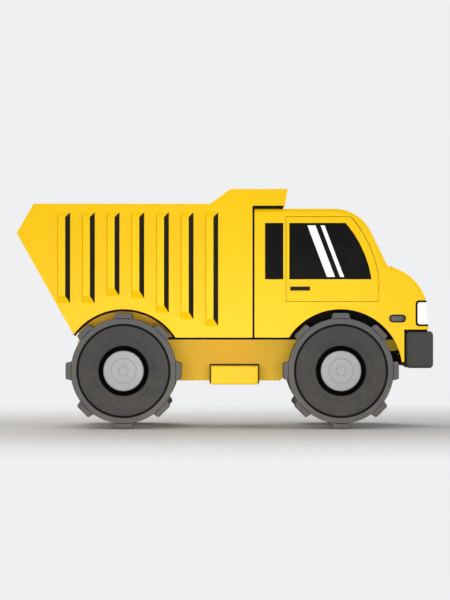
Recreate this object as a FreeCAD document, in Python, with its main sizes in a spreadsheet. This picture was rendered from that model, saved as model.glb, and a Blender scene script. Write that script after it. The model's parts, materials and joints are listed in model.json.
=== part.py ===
import FreeCAD, Part
import math
import os
import Sketcher

# Rigid dump truck with a tipping rock body. From the driver's place +X is forward, +Y is left and +Z is up.
# The origin is on the ground under the middle of the truck. All sizes are in millimetres.

DOC = FreeCAD.newDocument("DumpTruck")
SHEET = DOC.addObject("Spreadsheet::Sheet", "Sizes")

DRIVING_SIZES = [
    # Overall layout
    ("wheelbase", 3740),
    ("rear_overhang", 1842),
    ("front_overhang", 1594),
    ("wheel_face", 1650),
    ("fit_gap", 0.5),
    ("shaft_gap", 0.05),
    ("moving_gap", 10),
    ("panel_gap", 8),
    # Wheels
    ("tread_radius", 905),
    ("lug_height", 95),
    ("lug_length", 292),
    ("lug_flare", 20),
    ("lug_count", 8),
    ("tyre_width", 560),
    ("shoulder_radius", 791),
    ("sidewall_step", 26),
    ("bead_radius", 430),
    ("rim_inset", 42),
    ("rim_web", 92),
    ("hub_radius", 347),
    ("hub_inset", 6),
    ("spindle_radius", 60),
    # Frame
    ("rail_inner", 310),
    ("rail_width", 220),
    ("frame_top", 1526),
    ("belly_depth", 716),
    ("rear_rail_depth", 226),
    ("front_rail_depth", 286),
    ("belly_rear", 746),
    ("belly_front", 1034),
    ("kick_rear", 556),
    ("kick_front", 544),
    ("rail_tail", 86),
    ("pad_height", 47.5),
    ("pad_start", 150),
    ("member_length", 120),
    ("member_height", 60),
    ("lamp_bar_half", 1000),
    ("lamp_bar_depth", 110),
    ("hitch_bore", 25),
    ("hitch_drop", 290),
    ("hitch_reach", 124),
    ("hitch_plate", 30),
    ("hitch_jaw", 60),
    ("hitch_half", 90),
    # Bed
    ("hinge_behind", 734),
    ("hinge_drop", 86),
    ("hinge_pin", 45),
    ("bed_half", 1530),
    ("bed_wall", 60),
    ("tail_below_rim", 507),
    ("tail_foot", 837),
    ("rim_rear", 1551),
    ("rim_below_guard", 253),
    ("ramp_foot", 726),
    ("ramp_top", 377),
    ("guard_height", 287),
    ("guard_reach", 607),
    ("guard_slant", 50),
    ("guard_lip", 50),
    ("chute_start", 1141),
    ("arch_gap", 62),
    ("arch_lip", 15),
    ("first_rib", 1004),
    ("last_rib", 673),
    ("rib_flank", 81),
    ("rib_width", 120),
    ("rib_depth", 70),
    ("rib_below_rim", 149),
    ("rib_top_taper", 83),
    ("rib_foot_taper", 125),
    ("rib_foot_a", 1169),
    ("rib_foot_b", 1165),
    ("rib_foot_c", 1293),
    ("rib_foot_d", 1250),
    ("rib_foot_e", 1004),
    ("rib_foot_f", 889),
    ("rib_foot_g", 773),
    ("sill_width", 290),
    ("sill_tail", 790),
    ("sill_tip", 1404),
    ("ear_width", 60),
    ("ear_radius", 85),
    # Hoist
    ("hoist_foot_x", 816),
    ("hoist_foot_rise", 70),
    ("hoist_head_x", 273),
    ("hoist_head_drop", 74),
    ("hoist_offset", 200),
    ("barrel_radius", 85),
    ("sleeve_radius", 68),
    ("rod_radius", 46),
    ("hoist_pin", 35),
    ("foot_half", 88),
    ("rod_shown", 57),
    ("sleeve_extra", 60),
    ("eye_radius", 62),
    ("eye_half", 50),
    ("lug_plate", 15),
    ("eye_gap", 8),
    # Front axle, knuckles and steering
    ("kingpin_offset", 1200),
    ("kingpin_radius", 35),
    ("boss_radius", 70),
    ("boss_half", 100),
    ("beam_depth", 140),
    ("fork_plate", 54),
    ("fork_half", 80),
    ("fork_web", 55),
    ("arm_reach", 234),
    ("tie_radius", 26),
    ("tie_gap", 6),
    ("spring_width", 100),
    ("spring_height", 60),
    ("spring_half", 540),
    # Rear axle and drive line
    ("axle_tube", 140),
    ("diff_radius", 330),
    ("diff_half", 260),
    ("drum_radius", 300),
    ("drum_width", 150),
    ("shaft_radius", 55),
    ("shaft_drop", 300),
    # Engine and radiator
    ("engine_rear", 374),
    ("engine_front", 926),
    ("engine_half", 280),
    ("engine_gap", 55),
    ("gearbox_rear", 844),
    ("gearbox_half", 220),
    ("gearbox_rise", 174),
    ("radiator_back", 966),
    ("radiator_depth", 90),
    ("radiator_half", 490),
    ("radiator_rise", 438),
    # Cab
    ("cab_rear", 1485),
    ("cab_half", 1530),
    ("cab_wall", 60),
    ("cab_gap", 36),
    ("roof_gap", 53),
    ("roof_length", 1374),
    ("roof_radius", 700),
    ("screen_angle", 64),
    ("cowl_drop", 12),
    ("cowl_rise", 241),
    ("nose_face", 1511),
    ("nose_radius", 856),
    ("nose_drop", 249),
    ("fender_front", 1093),
    ("fender_rise", 102),
    ("edge_bevel", 60),
    ("bevel_turn", 83),
    ("firewall", 746),
    ("floor_thick", 55),
    ("housing_gap", 115),
    ("housing_wall", 12),
    ("glass_thick", 12),
    ("screen_side", 190),
    ("screen_top", 50),
    ("screen_foot", 80),
    ("sill_height", 387),
    ("window_height", 971),
    ("roof_header", 245),
    ("quarter_rear", 1306),
    ("quarter_front", 989),
    ("door_window_rear", 886),
    ("door_window_top", 84),
    ("door_window_front", 531),
    ("window_bow", 1950),
    ("door_rear", 938),
    ("door_front", 650),
    ("door_header", 104),
    ("door_top_front", 170),
    ("handle_rear", 871),
    ("handle_length", 341),
    ("handle_drop", 191),
    ("handle_height", 65),
    ("handle_depth", 26),
    ("hinge_barrel", 12),
    ("hinge_leaf", 6),
    ("hinge_leaf_length", 52),
    ("hinge_half", 50),
    ("hinge_foot", 60),
    ("hinge_head", 97),
    ("hood_start", 22),
    ("hood_end", 74),
    ("hood_side", 290),
    ("hood_thick", 45),
    ("grille_side", 250),
    ("grille_rise", 57),
    ("grille_height", 430),
    ("grille_frame", 40),
    ("grille_bars", 6),
    ("grille_bar", 26),
    # Lamps and bumper
    ("gasket", 34),
    ("lamp_rise", 55),
    ("lamp_height", 447),
    ("lamp_length", 223),
    ("lamp_width", 400),
    ("lamp_round", 60),
    ("marker_centre", 978),
    ("marker_rise", 189),
    ("marker_length", 292),
    ("marker_width", 136),
    ("marker_rim", 24),
    ("marker_depth", 14),
    ("bumper_length", 470),
    ("bumper_height", 632),
    ("bumper_round", 70),
    ("seal_inset", 30),
    ("seal_reach", 490),
    # Side boxes
    ("box_rear", 1502),
    ("box_front", 1421),
    ("box_drop", 52),
    ("box_height", 319),
    ("box_outer", 1250),
    ("box_edge", 26),
    ("box_round", 20),
    # Cab fittings
    ("seat_x", 700),
    ("seat_y", 700),
    ("seat_size", 560),
    ("seat_height", 430),
    ("back_height", 720),
    ("back_thick", 140),
    ("cushion_thick", 150),
    ("dash_depth", 330),
    ("dash_rise", 100),
    ("wheel_ring", 230),
    ("wheel_rim", 18),
    ("column_radius", 30),
]

# Expressions that place the axles and the main planes
REAR_AXLE = "((Sizes.rear_overhang - Sizes.wheelbase - Sizes.front_overhang) / 2)"
FRONT_AXLE = f"({REAR_AXLE} + Sizes.wheelbase)"
AXLE_Z = "(Sizes.tread_radius + Sizes.lug_height)"
WHEEL_MIDDLE = "(Sizes.wheel_face - Sizes.tyre_width / 2)"
SPINDLE_END = "(Sizes.wheel_face - Sizes.hub_inset - Sizes.rim_inset - Sizes.rim_web)"
RAIL_OUTER = "(Sizes.rail_inner + Sizes.rail_width)"
BELLY_Z = "(Sizes.frame_top - Sizes.belly_depth)"
REAR_RAIL_Z = "(Sizes.frame_top - Sizes.rear_rail_depth)"
FRONT_RAIL_Z = "(Sizes.frame_top - Sizes.front_rail_depth)"
PAD_TOP = "(Sizes.frame_top + Sizes.pad_height)"
DECK = f"({PAD_TOP} + Sizes.fit_gap)"
HINGE_X = f"({REAR_AXLE} - Sizes.hinge_behind)"
HINGE_Z = "(Sizes.frame_top - Sizes.hinge_drop)"
CAB_REAR = f"({FRONT_AXLE} - Sizes.cab_rear)"
BED_FRONT = f"({CAB_REAR} - Sizes.cab_gap)"
BED_INNER = "(Sizes.bed_half - Sizes.bed_wall)"
TAIL_X = f"({REAR_AXLE} - Sizes.rear_overhang)"
CHUTE_X = f"({REAR_AXLE} + Sizes.chute_start)"
ARCH_RADIUS = f"({AXLE_Z} + Sizes.arch_gap)"
HOUSING_INSIDE = f"({AXLE_Z} + Sizes.housing_gap)"
HOUSING_OUTSIDE = f"({HOUSING_INSIDE} + Sizes.housing_wall)"
FLOOR_LOW = f"({AXLE_Z} + {HOUSING_OUTSIDE} + Sizes.panel_gap)"
FLOOR_Z = f"({FLOOR_LOW} + Sizes.floor_thick)"
SILL_Z = f"({FLOOR_Z} + Sizes.sill_height)"
WINDOW_TOP = f"({SILL_Z} + Sizes.window_height)"
DOOR_LOW = f"({FLOOR_Z} + Sizes.moving_gap)"
ROOF_Z = f"({WINDOW_TOP} + Sizes.roof_header)"
GUARD_LOW = f"({ROOF_Z} + Sizes.roof_gap)"
GUARD_TOP = f"({GUARD_LOW} + Sizes.guard_height)"
RIM_Z = f"({GUARD_TOP} - Sizes.rim_below_guard)"
TAIL_Z = f"({RIM_Z} - Sizes.tail_below_rim)"
ROOF_ARC_X = f"({CAB_REAR} + Sizes.roof_length)"
ROOF_ARC_Z = f"({ROOF_Z} - Sizes.roof_radius)"
CAB_INNER = "(Sizes.cab_half - Sizes.cab_wall)"
NOSE_X = f"({FRONT_AXLE} + Sizes.nose_face)"
NOSE_ARC_X = f"({NOSE_X} - Sizes.nose_radius)"
NOSE_ARC_Z = f"({SILL_Z} + Sizes.cowl_rise - Sizes.nose_radius)"
NOSE_LOW = f"({NOSE_ARC_Z} - Sizes.nose_drop)"
BUMPER_TOP = f"({NOSE_LOW} - Sizes.gasket)"
BUMPER_LOW = f"({BUMPER_TOP} - Sizes.bumper_height)"
FENDER_LOW = f"({BUMPER_LOW} + Sizes.fender_rise)"
SCREEN_HALF = "(Sizes.cab_half - Sizes.screen_side)"
HOOD_HALF = "(Sizes.cab_half - Sizes.hood_side)"
LAMP_INNER = "(Sizes.cab_half - Sizes.lamp_width)"
LAMP_LOW = f"({NOSE_LOW} + Sizes.lamp_rise)"
GRILLE_HALF = f"({LAMP_INNER} - Sizes.grille_side)"
GRILLE_LOW = f"({NOSE_LOW} + Sizes.grille_rise)"
GRILLE_TOP = f"({GRILLE_LOW} + Sizes.grille_height)"
BUMPER_FACE = f"({FRONT_AXLE} + Sizes.front_overhang)"
BUMPER_BACK = f"({BUMPER_FACE} - Sizes.bumper_length)"
FIREWALL_X = f"({FRONT_AXLE} + Sizes.firewall)"
GEARBOX_TOP = "(Sizes.frame_top + Sizes.gearbox_rise)"
HOIST_FOOT_X = f"({REAR_AXLE} + Sizes.hoist_foot_x)"
HOIST_FOOT_Z = f"({BELLY_Z} + Sizes.hoist_foot_rise)"
HOIST_HEAD_X = f"({BED_FRONT} - Sizes.hoist_head_x)"
HOIST_HEAD_Z = f"({DECK} - Sizes.hoist_head_drop)"
SCREEN_HEAD = f"({ROOF_ARC_Z} + Sizes.roof_radius * cos(Sizes.screen_angle))"
SCREEN_DROP = f"({SCREEN_HEAD} - {SILL_Z} - Sizes.cowl_rise + Sizes.cowl_drop)"
SCREEN_LENGTH = f"({SCREEN_DROP} / sin(Sizes.screen_angle))"

PLANES = {"side": "XZ_Plane", "front": "YZ_Plane", "plan": "XY_Plane"}
SUB_PARTS = []


def fill_sheet():
    """Writes each driving size into its own cell, under its own alias."""
    for row, (name, value) in enumerate(DRIVING_SIZES, start=1):
        SHEET.set(f"A{row}", name)
        SHEET.set(f"B{row}", str(value))
        SHEET.setAlias(f"B{row}", name)
    DOC.recompute()


def number(expression):
    """The value of an expression, in millimetres or degrees."""
    value = SHEET.evalExpression(str(expression))
    return float(getattr(value, "Value", value))


def make_body(label):
    """An empty body for one sub-part, whose label names its file."""
    body = DOC.addObject("PartDesign::Body", "Body_" + label)
    body.Label = label
    body.AllowCompound = True
    SUB_PARTS.append(body)
    return body


def place(body, x="0", y="0", z="0", turn=0):
    """Puts a body's own origin at a point, turned about the vertical."""
    body.Placement = FreeCAD.Placement(FreeCAD.Vector(), FreeCAD.Rotation(FreeCAD.Vector(0, 0, 1), turn))
    body.setExpression("Placement.Base.x", x)
    body.setExpression("Placement.Base.y", y)
    body.setExpression("Placement.Base.z", z)


def make_sketch(body, plane, offset="0"):
    """A sketch on one of the body's own origin planes, moved along that plane's normal.

    The side plane's normal points to the right, -Y, the front plane's forward and the plan plane's up."""
    sketch = body.newObject("Sketcher::SketchObject", body.Name + "_sketch")
    support = next(f for f in body.Origin.OriginFeatures if f.Role == PLANES[plane])
    sketch.AttachmentSupport = [(support, "")]
    sketch.MapMode = "FlatFace"
    sketch.setExpression("AttachmentOffset.Base.z", offset)
    return sketch


def pin_point(sketch, geometry, end, u, v):
    """Holds one end or centre of a sketch line at a point given by two expressions."""
    for kind, expression in (("DistanceX", u), ("DistanceY", v)):
        held = sketch.addConstraint(Sketcher.Constraint(kind, -1, 1, geometry, end, number(expression)))
        sketch.setExpression(f"Constraints[{held}]", expression)


def draw_arc(start, finish, radius, clockwise):
    """The short arc from start to finish, and whether its own direction is reversed."""
    first, last = (finish, start) if clockwise else (start, finish)
    chord = last - first
    half = chord.Length / 2
    rise = max(radius * radius - half * half, 0.0) ** 0.5
    left = FreeCAD.Vector(-chord.y, chord.x, 0).normalize()
    centre = first + chord / 2 + left * rise
    circle = Part.Circle(centre, FreeCAD.Vector(0, 0, 1), radius)
    return Part.ArcOfCircle(circle, circle.parameter(first), circle.parameter(last))


def outline(sketch, corners, arcs=None):
    """A closed outline through corners, each a pair of expressions.

    arcs gives the sides that are arcs: a side's number, then its radius and 'cw' or 'ccw'."""
    arcs = arcs or {}
    points = [FreeCAD.Vector(number(u), number(v), 0) for u, v in corners]
    sides = []
    for i, start in enumerate(points):
        finish = points[(i + 1) % len(points)]
        if i in arcs:
            radius, way = arcs[i]
            arc = draw_arc(start, finish, number(radius), way == "cw")
            sides.append(sketch.addGeometry(arc, False))
        else:
            sides.append(sketch.addGeometry(Part.LineSegment(start, finish), False))
    for i, side in enumerate(sides):
        after = (i + 1) % len(sides)
        leaving = 1 if arcs.get(i, ("", ""))[1] == "cw" else 2
        arriving = 2 if arcs.get(after, ("", ""))[1] == "cw" else 1
        sketch.addConstraint(Sketcher.Constraint("Coincident", side, leaving, sides[after], arriving))
    for i, (u, v) in enumerate(corners):
        start_end = 2 if arcs.get(i, ("", ""))[1] == "cw" else 1
        pin_point(sketch, sides[i], start_end, u, v)
        if i in arcs:
            held = sketch.addConstraint(Sketcher.Constraint("Radius", sides[i], number(arcs[i][0])))
            sketch.setExpression(f"Constraints[{held}]", arcs[i][0])
    return sketch


def rectangle(sketch, low_u, low_v, high_u, high_v):
    """A rectangle between two corners."""
    return outline(sketch, [(low_u, low_v), (high_u, low_v), (high_u, high_v), (low_u, high_v)])


def circle(sketch, u, v, radius):
    """A full circle."""
    centre = FreeCAD.Vector(number(u), number(v), 0)
    drawn = sketch.addGeometry(Part.Circle(centre, FreeCAD.Vector(0, 0, 1), number(radius)), False)
    pin_point(sketch, drawn, 3, u, v)
    held = sketch.addConstraint(Sketcher.Constraint("Radius", drawn, number(radius)))
    sketch.setExpression(f"Constraints[{held}]", radius)
    return sketch


def pad(body, sketch, length, middle=False, backwards=False):
    """Adds material from a sketch: along its normal, against it, or half each way."""
    feature = body.newObject("PartDesign::Pad", body.Name + "_pad")
    feature.Profile = sketch
    feature.setExpression("Length", length)
    feature.Midplane = middle
    feature.Reversed = backwards
    return feature


def pocket(body, sketch, length, middle=False, backwards=False):
    """Cuts material away: against the sketch's normal, along it if backwards, or half each way."""
    DOC.recompute()
    before = body.Shape.Volume
    feature = body.newObject("PartDesign::Pocket", body.Name + "_pocket")
    feature.Profile = sketch
    feature.setExpression("Length", length)
    feature.Midplane = middle
    feature.Reversed = backwards
    DOC.recompute()
    if feature.Shape.Volume >= before - 1:
        raise RuntimeError(f"{body.Label}: a pocket cut nothing")
    return feature


def disc(body, kind, radius, start, length, sides=48):
    """Adds or cuts a many-sided disc across the truck, from one distance outwards."""
    feature = body.newObject(f"PartDesign::{kind}Prism", body.Name + "_disc")
    feature.Polygon = sides
    support = next(f for f in body.Origin.OriginFeatures if f.Role == PLANES["side"])
    feature.AttachmentSupport = [(support, "")]
    feature.MapMode = "FlatFace"
    feature.setExpression("AttachmentOffset.Base.z", start)
    feature.setExpression("Circumradius", radius)
    feature.setExpression("Height", length)
    return feature


def mirror(body, features):
    """Repeats features on the other side of the truck's middle plane."""
    feature = body.newObject("PartDesign::Mirrored", body.Name + "_mirrored")
    feature.Originals = features
    plane = next(f for f in body.Origin.OriginFeatures if f.Role == "XZ_Plane")
    feature.MirrorPlane = (plane, [""])
    body.Tip = feature
    return feature


def side_offset(side, distance):
    """Offset along the side plane's normal, for the right side at -1 and the left side at +1."""
    return distance if side < 0 else f"-({distance})"


def side_slab(body, side, inner, length, corners, arcs=None):
    """A slab that stands on one side of the truck, from inner outwards."""
    sketch = outline(make_sketch(body, "side", side_offset(side, inner)), corners, arcs)
    return pad(body, sketch, length, backwards=side > 0)


def across(body, half, corners, arcs=None):
    """A slab across the truck, half each side of its middle."""
    sketch = outline(make_sketch(body, "side"), corners, arcs)
    return pad(body, sketch, f"2 * ({half})", middle=True)


def box_corners(low_x, low_z, high_x, high_z):
    """Corners of an upright rectangle in the side plane."""
    return [(low_x, low_z), (high_x, low_z), (high_x, high_z), (low_x, high_z)]


def edges_where(shape, test):
    """Names of a shape's edges that pass a test."""
    return [f"Edge{i}" for i, edge in enumerate(shape.Edges, start=1) if test(edge)]


def fillet(body, base, radius, test):
    """Rounds the edges of a feature that pass a test."""
    DOC.recompute()
    feature = body.newObject("PartDesign::Fillet", body.Name + "_round")
    feature.Base = (base, edges_where(base.Shape, test))
    feature.setExpression("Radius", radius)
    return feature


def chamfer(body, base, size, test):
    """Bevels the edges of a feature that pass a test."""
    DOC.recompute()
    feature = body.newObject("PartDesign::Chamfer", body.Name + "_bevel")
    feature.Base = (base, edges_where(base.Shape, test))
    feature.setExpression("Size", size)
    return feature


def wheel_arch(radius, angles):
    """Corners of a flat-sided arch about the front wheel, whose sides touch a radius."""
    reach = f"({radius} / cos(15))"
    return [(f"{FRONT_AXLE} + {reach} * cos({a})", f"{AXLE_Z} + {reach} * sin({a})") for a in angles]


def make_frame():
    """Two deep box rails that kick up over both axles, with cross members, tow jaw and hinge pin."""
    body = make_body("frame")
    tail = f"{HINGE_X} - Sizes.rail_tail"
    side_slab(body, -1, "Sizes.rail_inner", "Sizes.rail_width", [
        (tail, "Sizes.frame_top"),
        (tail, REAR_RAIL_Z),
        (f"{REAR_AXLE} + Sizes.kick_rear", REAR_RAIL_Z),
        (f"{REAR_AXLE} + Sizes.belly_rear", BELLY_Z),
        (f"{FRONT_AXLE} - Sizes.belly_front", BELLY_Z),
        (f"{FRONT_AXLE} - Sizes.kick_front", FRONT_RAIL_Z),
        (BUMPER_BACK, FRONT_RAIL_Z),
        (BUMPER_BACK, "Sizes.frame_top"),
    ])
    half = RAIL_OUTER
    members = [
        (f"{tail}", REAR_RAIL_Z),
        (f"{REAR_AXLE} + Sizes.belly_rear + 3 * Sizes.member_length", BELLY_Z),
        (f"{FRONT_AXLE} - Sizes.belly_front - Sizes.member_length", BELLY_Z),
        (f"{FRONT_AXLE} - Sizes.engine_rear", FRONT_RAIL_Z),
        (f"{FRONT_AXLE} + Sizes.engine_front - Sizes.member_length", FRONT_RAIL_Z),
        (f"{BUMPER_BACK} - Sizes.member_length", FRONT_RAIL_Z),
    ]
    for x, z in members:
        across(body, half, box_corners(x, z, f"{x} + Sizes.member_length", f"{z} + Sizes.member_height"))
    lamp_bar_low = f"{REAR_RAIL_Z} - Sizes.lamp_bar_depth"
    across(body, "Sizes.lamp_bar_half", box_corners(
        tail, lamp_bar_low, f"{tail} + Sizes.hitch_plate", f"{REAR_RAIL_Z} + Sizes.hitch_plate"))
    jaw_low = f"{REAR_RAIL_Z} - Sizes.hitch_drop"
    across(body, "Sizes.hitch_half * 2", box_corners(
        tail, jaw_low, f"{tail} + Sizes.hitch_plate", REAR_RAIL_Z))
    for low in (jaw_low, f"{jaw_low} + Sizes.hitch_plate + Sizes.hitch_jaw"):
        across(body, "Sizes.hitch_half", box_corners(
            f"{tail} - Sizes.hitch_reach", low, tail, f"{low} + Sizes.hitch_plate"))
    DOC.recompute()
    mirror(body, [body.Group[1]])
    middle = f"{tail} - Sizes.hitch_reach / 2"
    bore = circle(make_sketch(body, "plan", jaw_low), middle, "0", "Sizes.hitch_bore")
    pocket(body, bore, "Sizes.hitch_drop", backwards=True)
    pin = circle(make_sketch(body, "side"), HINGE_X, HINGE_Z, "Sizes.hinge_pin")
    pad(body, pin, f"2 * ({RAIL_OUTER} + 2 * Sizes.moving_gap + Sizes.ear_width)", middle=True)


def make_rest_pads():
    """Rubber strips along the rails, which carry the bed and the cab."""
    body = make_body("rest_pads")
    strip = side_slab(body, -1, "Sizes.rail_inner", "Sizes.rail_width", box_corners(
        f"{HINGE_X} + Sizes.pad_start", "Sizes.frame_top", BUMPER_BACK, PAD_TOP))
    DOC.recompute()
    mirror(body, [strip])


def make_rear_axle():
    """Rear axle: a box beam with its differential, brake drums and wheel spindles."""
    body = make_body("rear_axle")
    place(body, REAR_AXLE, "0", AXLE_Z)
    spindle_end = SPINDLE_END
    drum_out = f"({WHEEL_MIDDLE} - Sizes.moving_gap)"
    drum_in = f"({drum_out} - Sizes.drum_width)"
    spindle = circle(make_sketch(body, "side"), "0", "0", "Sizes.spindle_radius")
    pad(body, spindle, f"2 * {spindle_end}", middle=True)
    across(body, drum_in, box_corners(
        "-Sizes.axle_tube", "-Sizes.axle_tube", "Sizes.axle_tube", "Sizes.axle_tube"))
    casing = circle(make_sketch(body, "side"), "0", "0", "Sizes.diff_radius")
    pad(body, casing, "Sizes.diff_half", middle=True)
    disc(body, "Additive", "Sizes.drum_radius", drum_in, "Sizes.drum_width", 32)
    disc(body, "Additive", "Sizes.drum_radius", f"-{drum_out}", "Sizes.drum_width", 32)


def make_front_axle():
    """Drop beam that ends in the two kingpin bosses."""
    body = make_body("front_axle")
    place(body, FRONT_AXLE, "0", AXLE_Z)
    boss_in = "(Sizes.kingpin_offset - Sizes.boss_radius)"
    end = "Sizes.kingpin_offset"
    tall = "Sizes.boss_half"
    half = "Sizes.beam_depth / 2"
    drop = "Sizes.beam_depth / 2"
    low = "(Sizes.kingpin_offset - 7 * Sizes.boss_radius)"
    bend = "(Sizes.kingpin_offset - 4 * Sizes.boss_radius)"
    beam = outline(make_sketch(body, "front"), [
        (f"-{end}", f"-{tall}"),
        (f"-{boss_in}", f"-{tall}"),
        (f"-{bend}", f"-{half}"),
        (f"-{low}", f"-{half} - {drop}"),
        (low, f"-{half} - {drop}"),
        (bend, f"-{half}"),
        (boss_in, f"-{tall}"),
        (end, f"-{tall}"),
        (end, tall),
        (boss_in, tall),
        (bend, half),
        (low, f"{half} - {drop}"),
        (f"-{low}", f"{half} - {drop}"),
        (f"-{bend}", half),
        (f"-{boss_in}", tall),
        (f"-{end}", tall),
    ])
    pad(body, beam, "2 * Sizes.boss_radius", middle=True)
    bore_radius = "Sizes.kingpin_radius + Sizes.shaft_gap"
    for side in ("-", ""):
        boss = circle(make_sketch(body, "plan"), "0", f"{side}Sizes.kingpin_offset", "Sizes.boss_radius")
        pad(body, boss, "2 * Sizes.boss_half", middle=True)
        bore = circle(make_sketch(body, "plan"), "0", f"{side}Sizes.kingpin_offset", bore_radius)
        pocket(body, bore, "2 * Sizes.boss_half + Sizes.moving_gap", middle=True)


def make_knuckle(name, side):
    """Steering knuckle: a fork round the beam's boss, its kingpin, spindle and steering arm."""
    body = make_body(name)
    sign = "" if side > 0 else "-"
    place(body, FRONT_AXLE, f"{sign}Sizes.kingpin_offset", AXLE_Z)
    web_in = "(Sizes.boss_radius + Sizes.moving_gap)"
    web_out = f"({web_in} + Sizes.fork_web)"
    plate_low = "(Sizes.boss_half + Sizes.moving_gap)"
    plate_high = f"({plate_low} + Sizes.fork_plate)"
    mark = "" if side > 0 else "-"
    fork = outline(make_sketch(body, "front"), [
        (f"{mark}(-Sizes.boss_radius)", f"-{plate_high}"),
        (f"{mark}{web_out}", f"-{plate_high}"),
        (f"{mark}{web_out}", plate_high),
        (f"{mark}(-Sizes.boss_radius)", plate_high),
        (f"{mark}(-Sizes.boss_radius)", plate_low),
        (f"{mark}{web_in}", plate_low),
        (f"{mark}{web_in}", f"-{plate_low}"),
        (f"{mark}(-Sizes.boss_radius)", f"-{plate_low}"),
    ])
    pad(body, fork, "2 * Sizes.fork_half", middle=True)
    pin = circle(make_sketch(body, "plan"), "0", "0", "Sizes.kingpin_radius")
    pad(body, pin, f"2 * ({plate_high})", middle=True)
    spindle_length = f"({SPINDLE_END} - Sizes.kingpin_offset - {web_in})"
    spindle = circle(make_sketch(body, "side", side_offset(side, web_in)), "0", "0", "Sizes.spindle_radius")
    pad(body, spindle, spindle_length, backwards=side > 0)
    arm = outline(make_sketch(body, "plan", f"-{plate_high}"), [
        ("0", "-Sizes.boss_radius / 2"),
        ("0", "Sizes.boss_radius / 2"),
        ("-Sizes.arm_reach - Sizes.tie_radius", "Sizes.tie_radius"),
        ("-Sizes.arm_reach - Sizes.tie_radius", "-Sizes.tie_radius"),
    ])
    pad(body, arm, "Sizes.fork_plate / 2")


def make_tie_rod():
    """Track rod that links the two steering arms, just under them, with an eye at each end."""
    body = make_body("tie_rod")
    arm_bottom = "(Sizes.boss_half + Sizes.moving_gap + Sizes.fork_plate)"
    rod_z = f"({arm_bottom} + Sizes.tie_gap + Sizes.tie_radius)"
    place(body, f"{FRONT_AXLE} - Sizes.arm_reach", "0", f"{AXLE_Z} - {rod_z}")
    reach = "Sizes.kingpin_offset"
    disc(body, "Additive", "0.8 * Sizes.tie_radius", f"-{reach}", f"2 * {reach}", 12)
    for side in ("-", ""):
        eye = circle(make_sketch(body, "plan"), "0", side + reach, "1.4 * Sizes.tie_radius")
        pad(body, eye, "2 * Sizes.tie_radius", middle=True)


def make_leaf_springs():
    """Four leaf packs between the axles and the rails, thick at the axle and drawn up to the rails."""
    body = make_body("leaf_springs")
    inner = "(Sizes.rail_inner + Sizes.rail_width / 2 - Sizes.spring_width / 2)"
    packs = [
        (FRONT_AXLE, AXLE_Z, FRONT_RAIL_Z),
        (REAR_AXLE, f"({AXLE_Z} + Sizes.axle_tube)", REAR_RAIL_Z),
    ]
    for x, seat, eye in packs:
        bow = f"({eye} - {seat})"
        corners = []
        for at, rise in (("-1", "1"), ("-0.55", "0.3"), ("0", "0"), ("0.55", "0.3"), ("1", "1")):
            corners.append((f"{x} + ({at}) * Sizes.spring_half", f"{seat} + {rise} * {bow}"))
        bends = [("0.87", "1"), ("0.5", "0.3"), ("0.12", "0")]
        bends += [("-0.12", "0"), ("-0.5", "0.3"), ("-0.87", "1")]
        for at, rise in bends:
            lift = f"(1 - {rise}) * Sizes.spring_height"
            corners.append((f"{x} + ({at}) * Sizes.spring_half", f"{seat} + {rise} * {bow} + {lift}"))
        for side in (-1, 1):
            side_slab(body, side, inner, "Sizes.spring_width", corners)


def make_drive_shaft():
    """Propeller shaft from the gearbox down to the differential, cut off square to both."""
    rear = number(f"{REAR_AXLE} + Sizes.diff_radius + Sizes.fit_gap")
    front = number(f"{FRONT_AXLE} - Sizes.gearbox_rear - Sizes.fit_gap")
    start = FreeCAD.Vector(front, 0, number(f"{GEARBOX_TOP} - Sizes.shaft_drop"))
    finish = FreeCAD.Vector(rear, 0, number(AXLE_Z))
    radius = number("Sizes.shaft_radius")
    line = finish - start
    spare = line / line.Length * (2 * radius)
    bar = Part.makeCylinder(radius, line.Length + 4 * radius, start - spare, line)
    reach = number(AXLE_Z)
    room = Part.makeBox(front - rear, 4 * radius, 4 * reach, FreeCAD.Vector(rear, -2 * radius, -reach))
    add_feature("drive_shaft", bar.common(room))


def make_engine():
    """Engine and gearbox as one plain block on the cross members."""
    body = make_body("engine")
    seat = f"({FRONT_RAIL_Z} + Sizes.member_height)"
    across(body, "Sizes.engine_half", box_corners(
        f"{FRONT_AXLE} - Sizes.engine_rear", seat, f"{FRONT_AXLE} + Sizes.engine_front",
        f"{FLOOR_LOW} - Sizes.engine_gap"))
    across(body, "Sizes.gearbox_half", box_corners(
        f"{FRONT_AXLE} - Sizes.gearbox_rear", seat, f"{FRONT_AXLE} - Sizes.engine_rear", GEARBOX_TOP))


def make_radiator():
    """Radiator behind the grille, standing on the rest pads."""
    body = make_body("radiator")
    back = f"{FRONT_AXLE} + Sizes.radiator_back"
    across(body, "Sizes.radiator_half", box_corners(
        back, PAD_TOP, f"{back} + Sizes.radiator_depth", f"{NOSE_ARC_Z} + Sizes.radiator_rise"))


def make_bumper():
    """Deep front bumper with rounded corners."""
    body = make_body("bumper")
    slab = across(body, "Sizes.cab_half", box_corners(
        BUMPER_BACK, BUMPER_LOW, BUMPER_FACE, BUMPER_TOP))
    face = number(BUMPER_FACE)
    half = number("Sizes.cab_half")

    def front_edge(edge):
        box = edge.BoundBox
        lengthwise = box.YLength > half
        upright = box.ZLength > half / 10
        return abs(box.XMin - face) < 1 and abs(box.XMax - face) < 1 and (lengthwise or upright)

    fillet(body, slab, "Sizes.bumper_round", front_edge)


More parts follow.
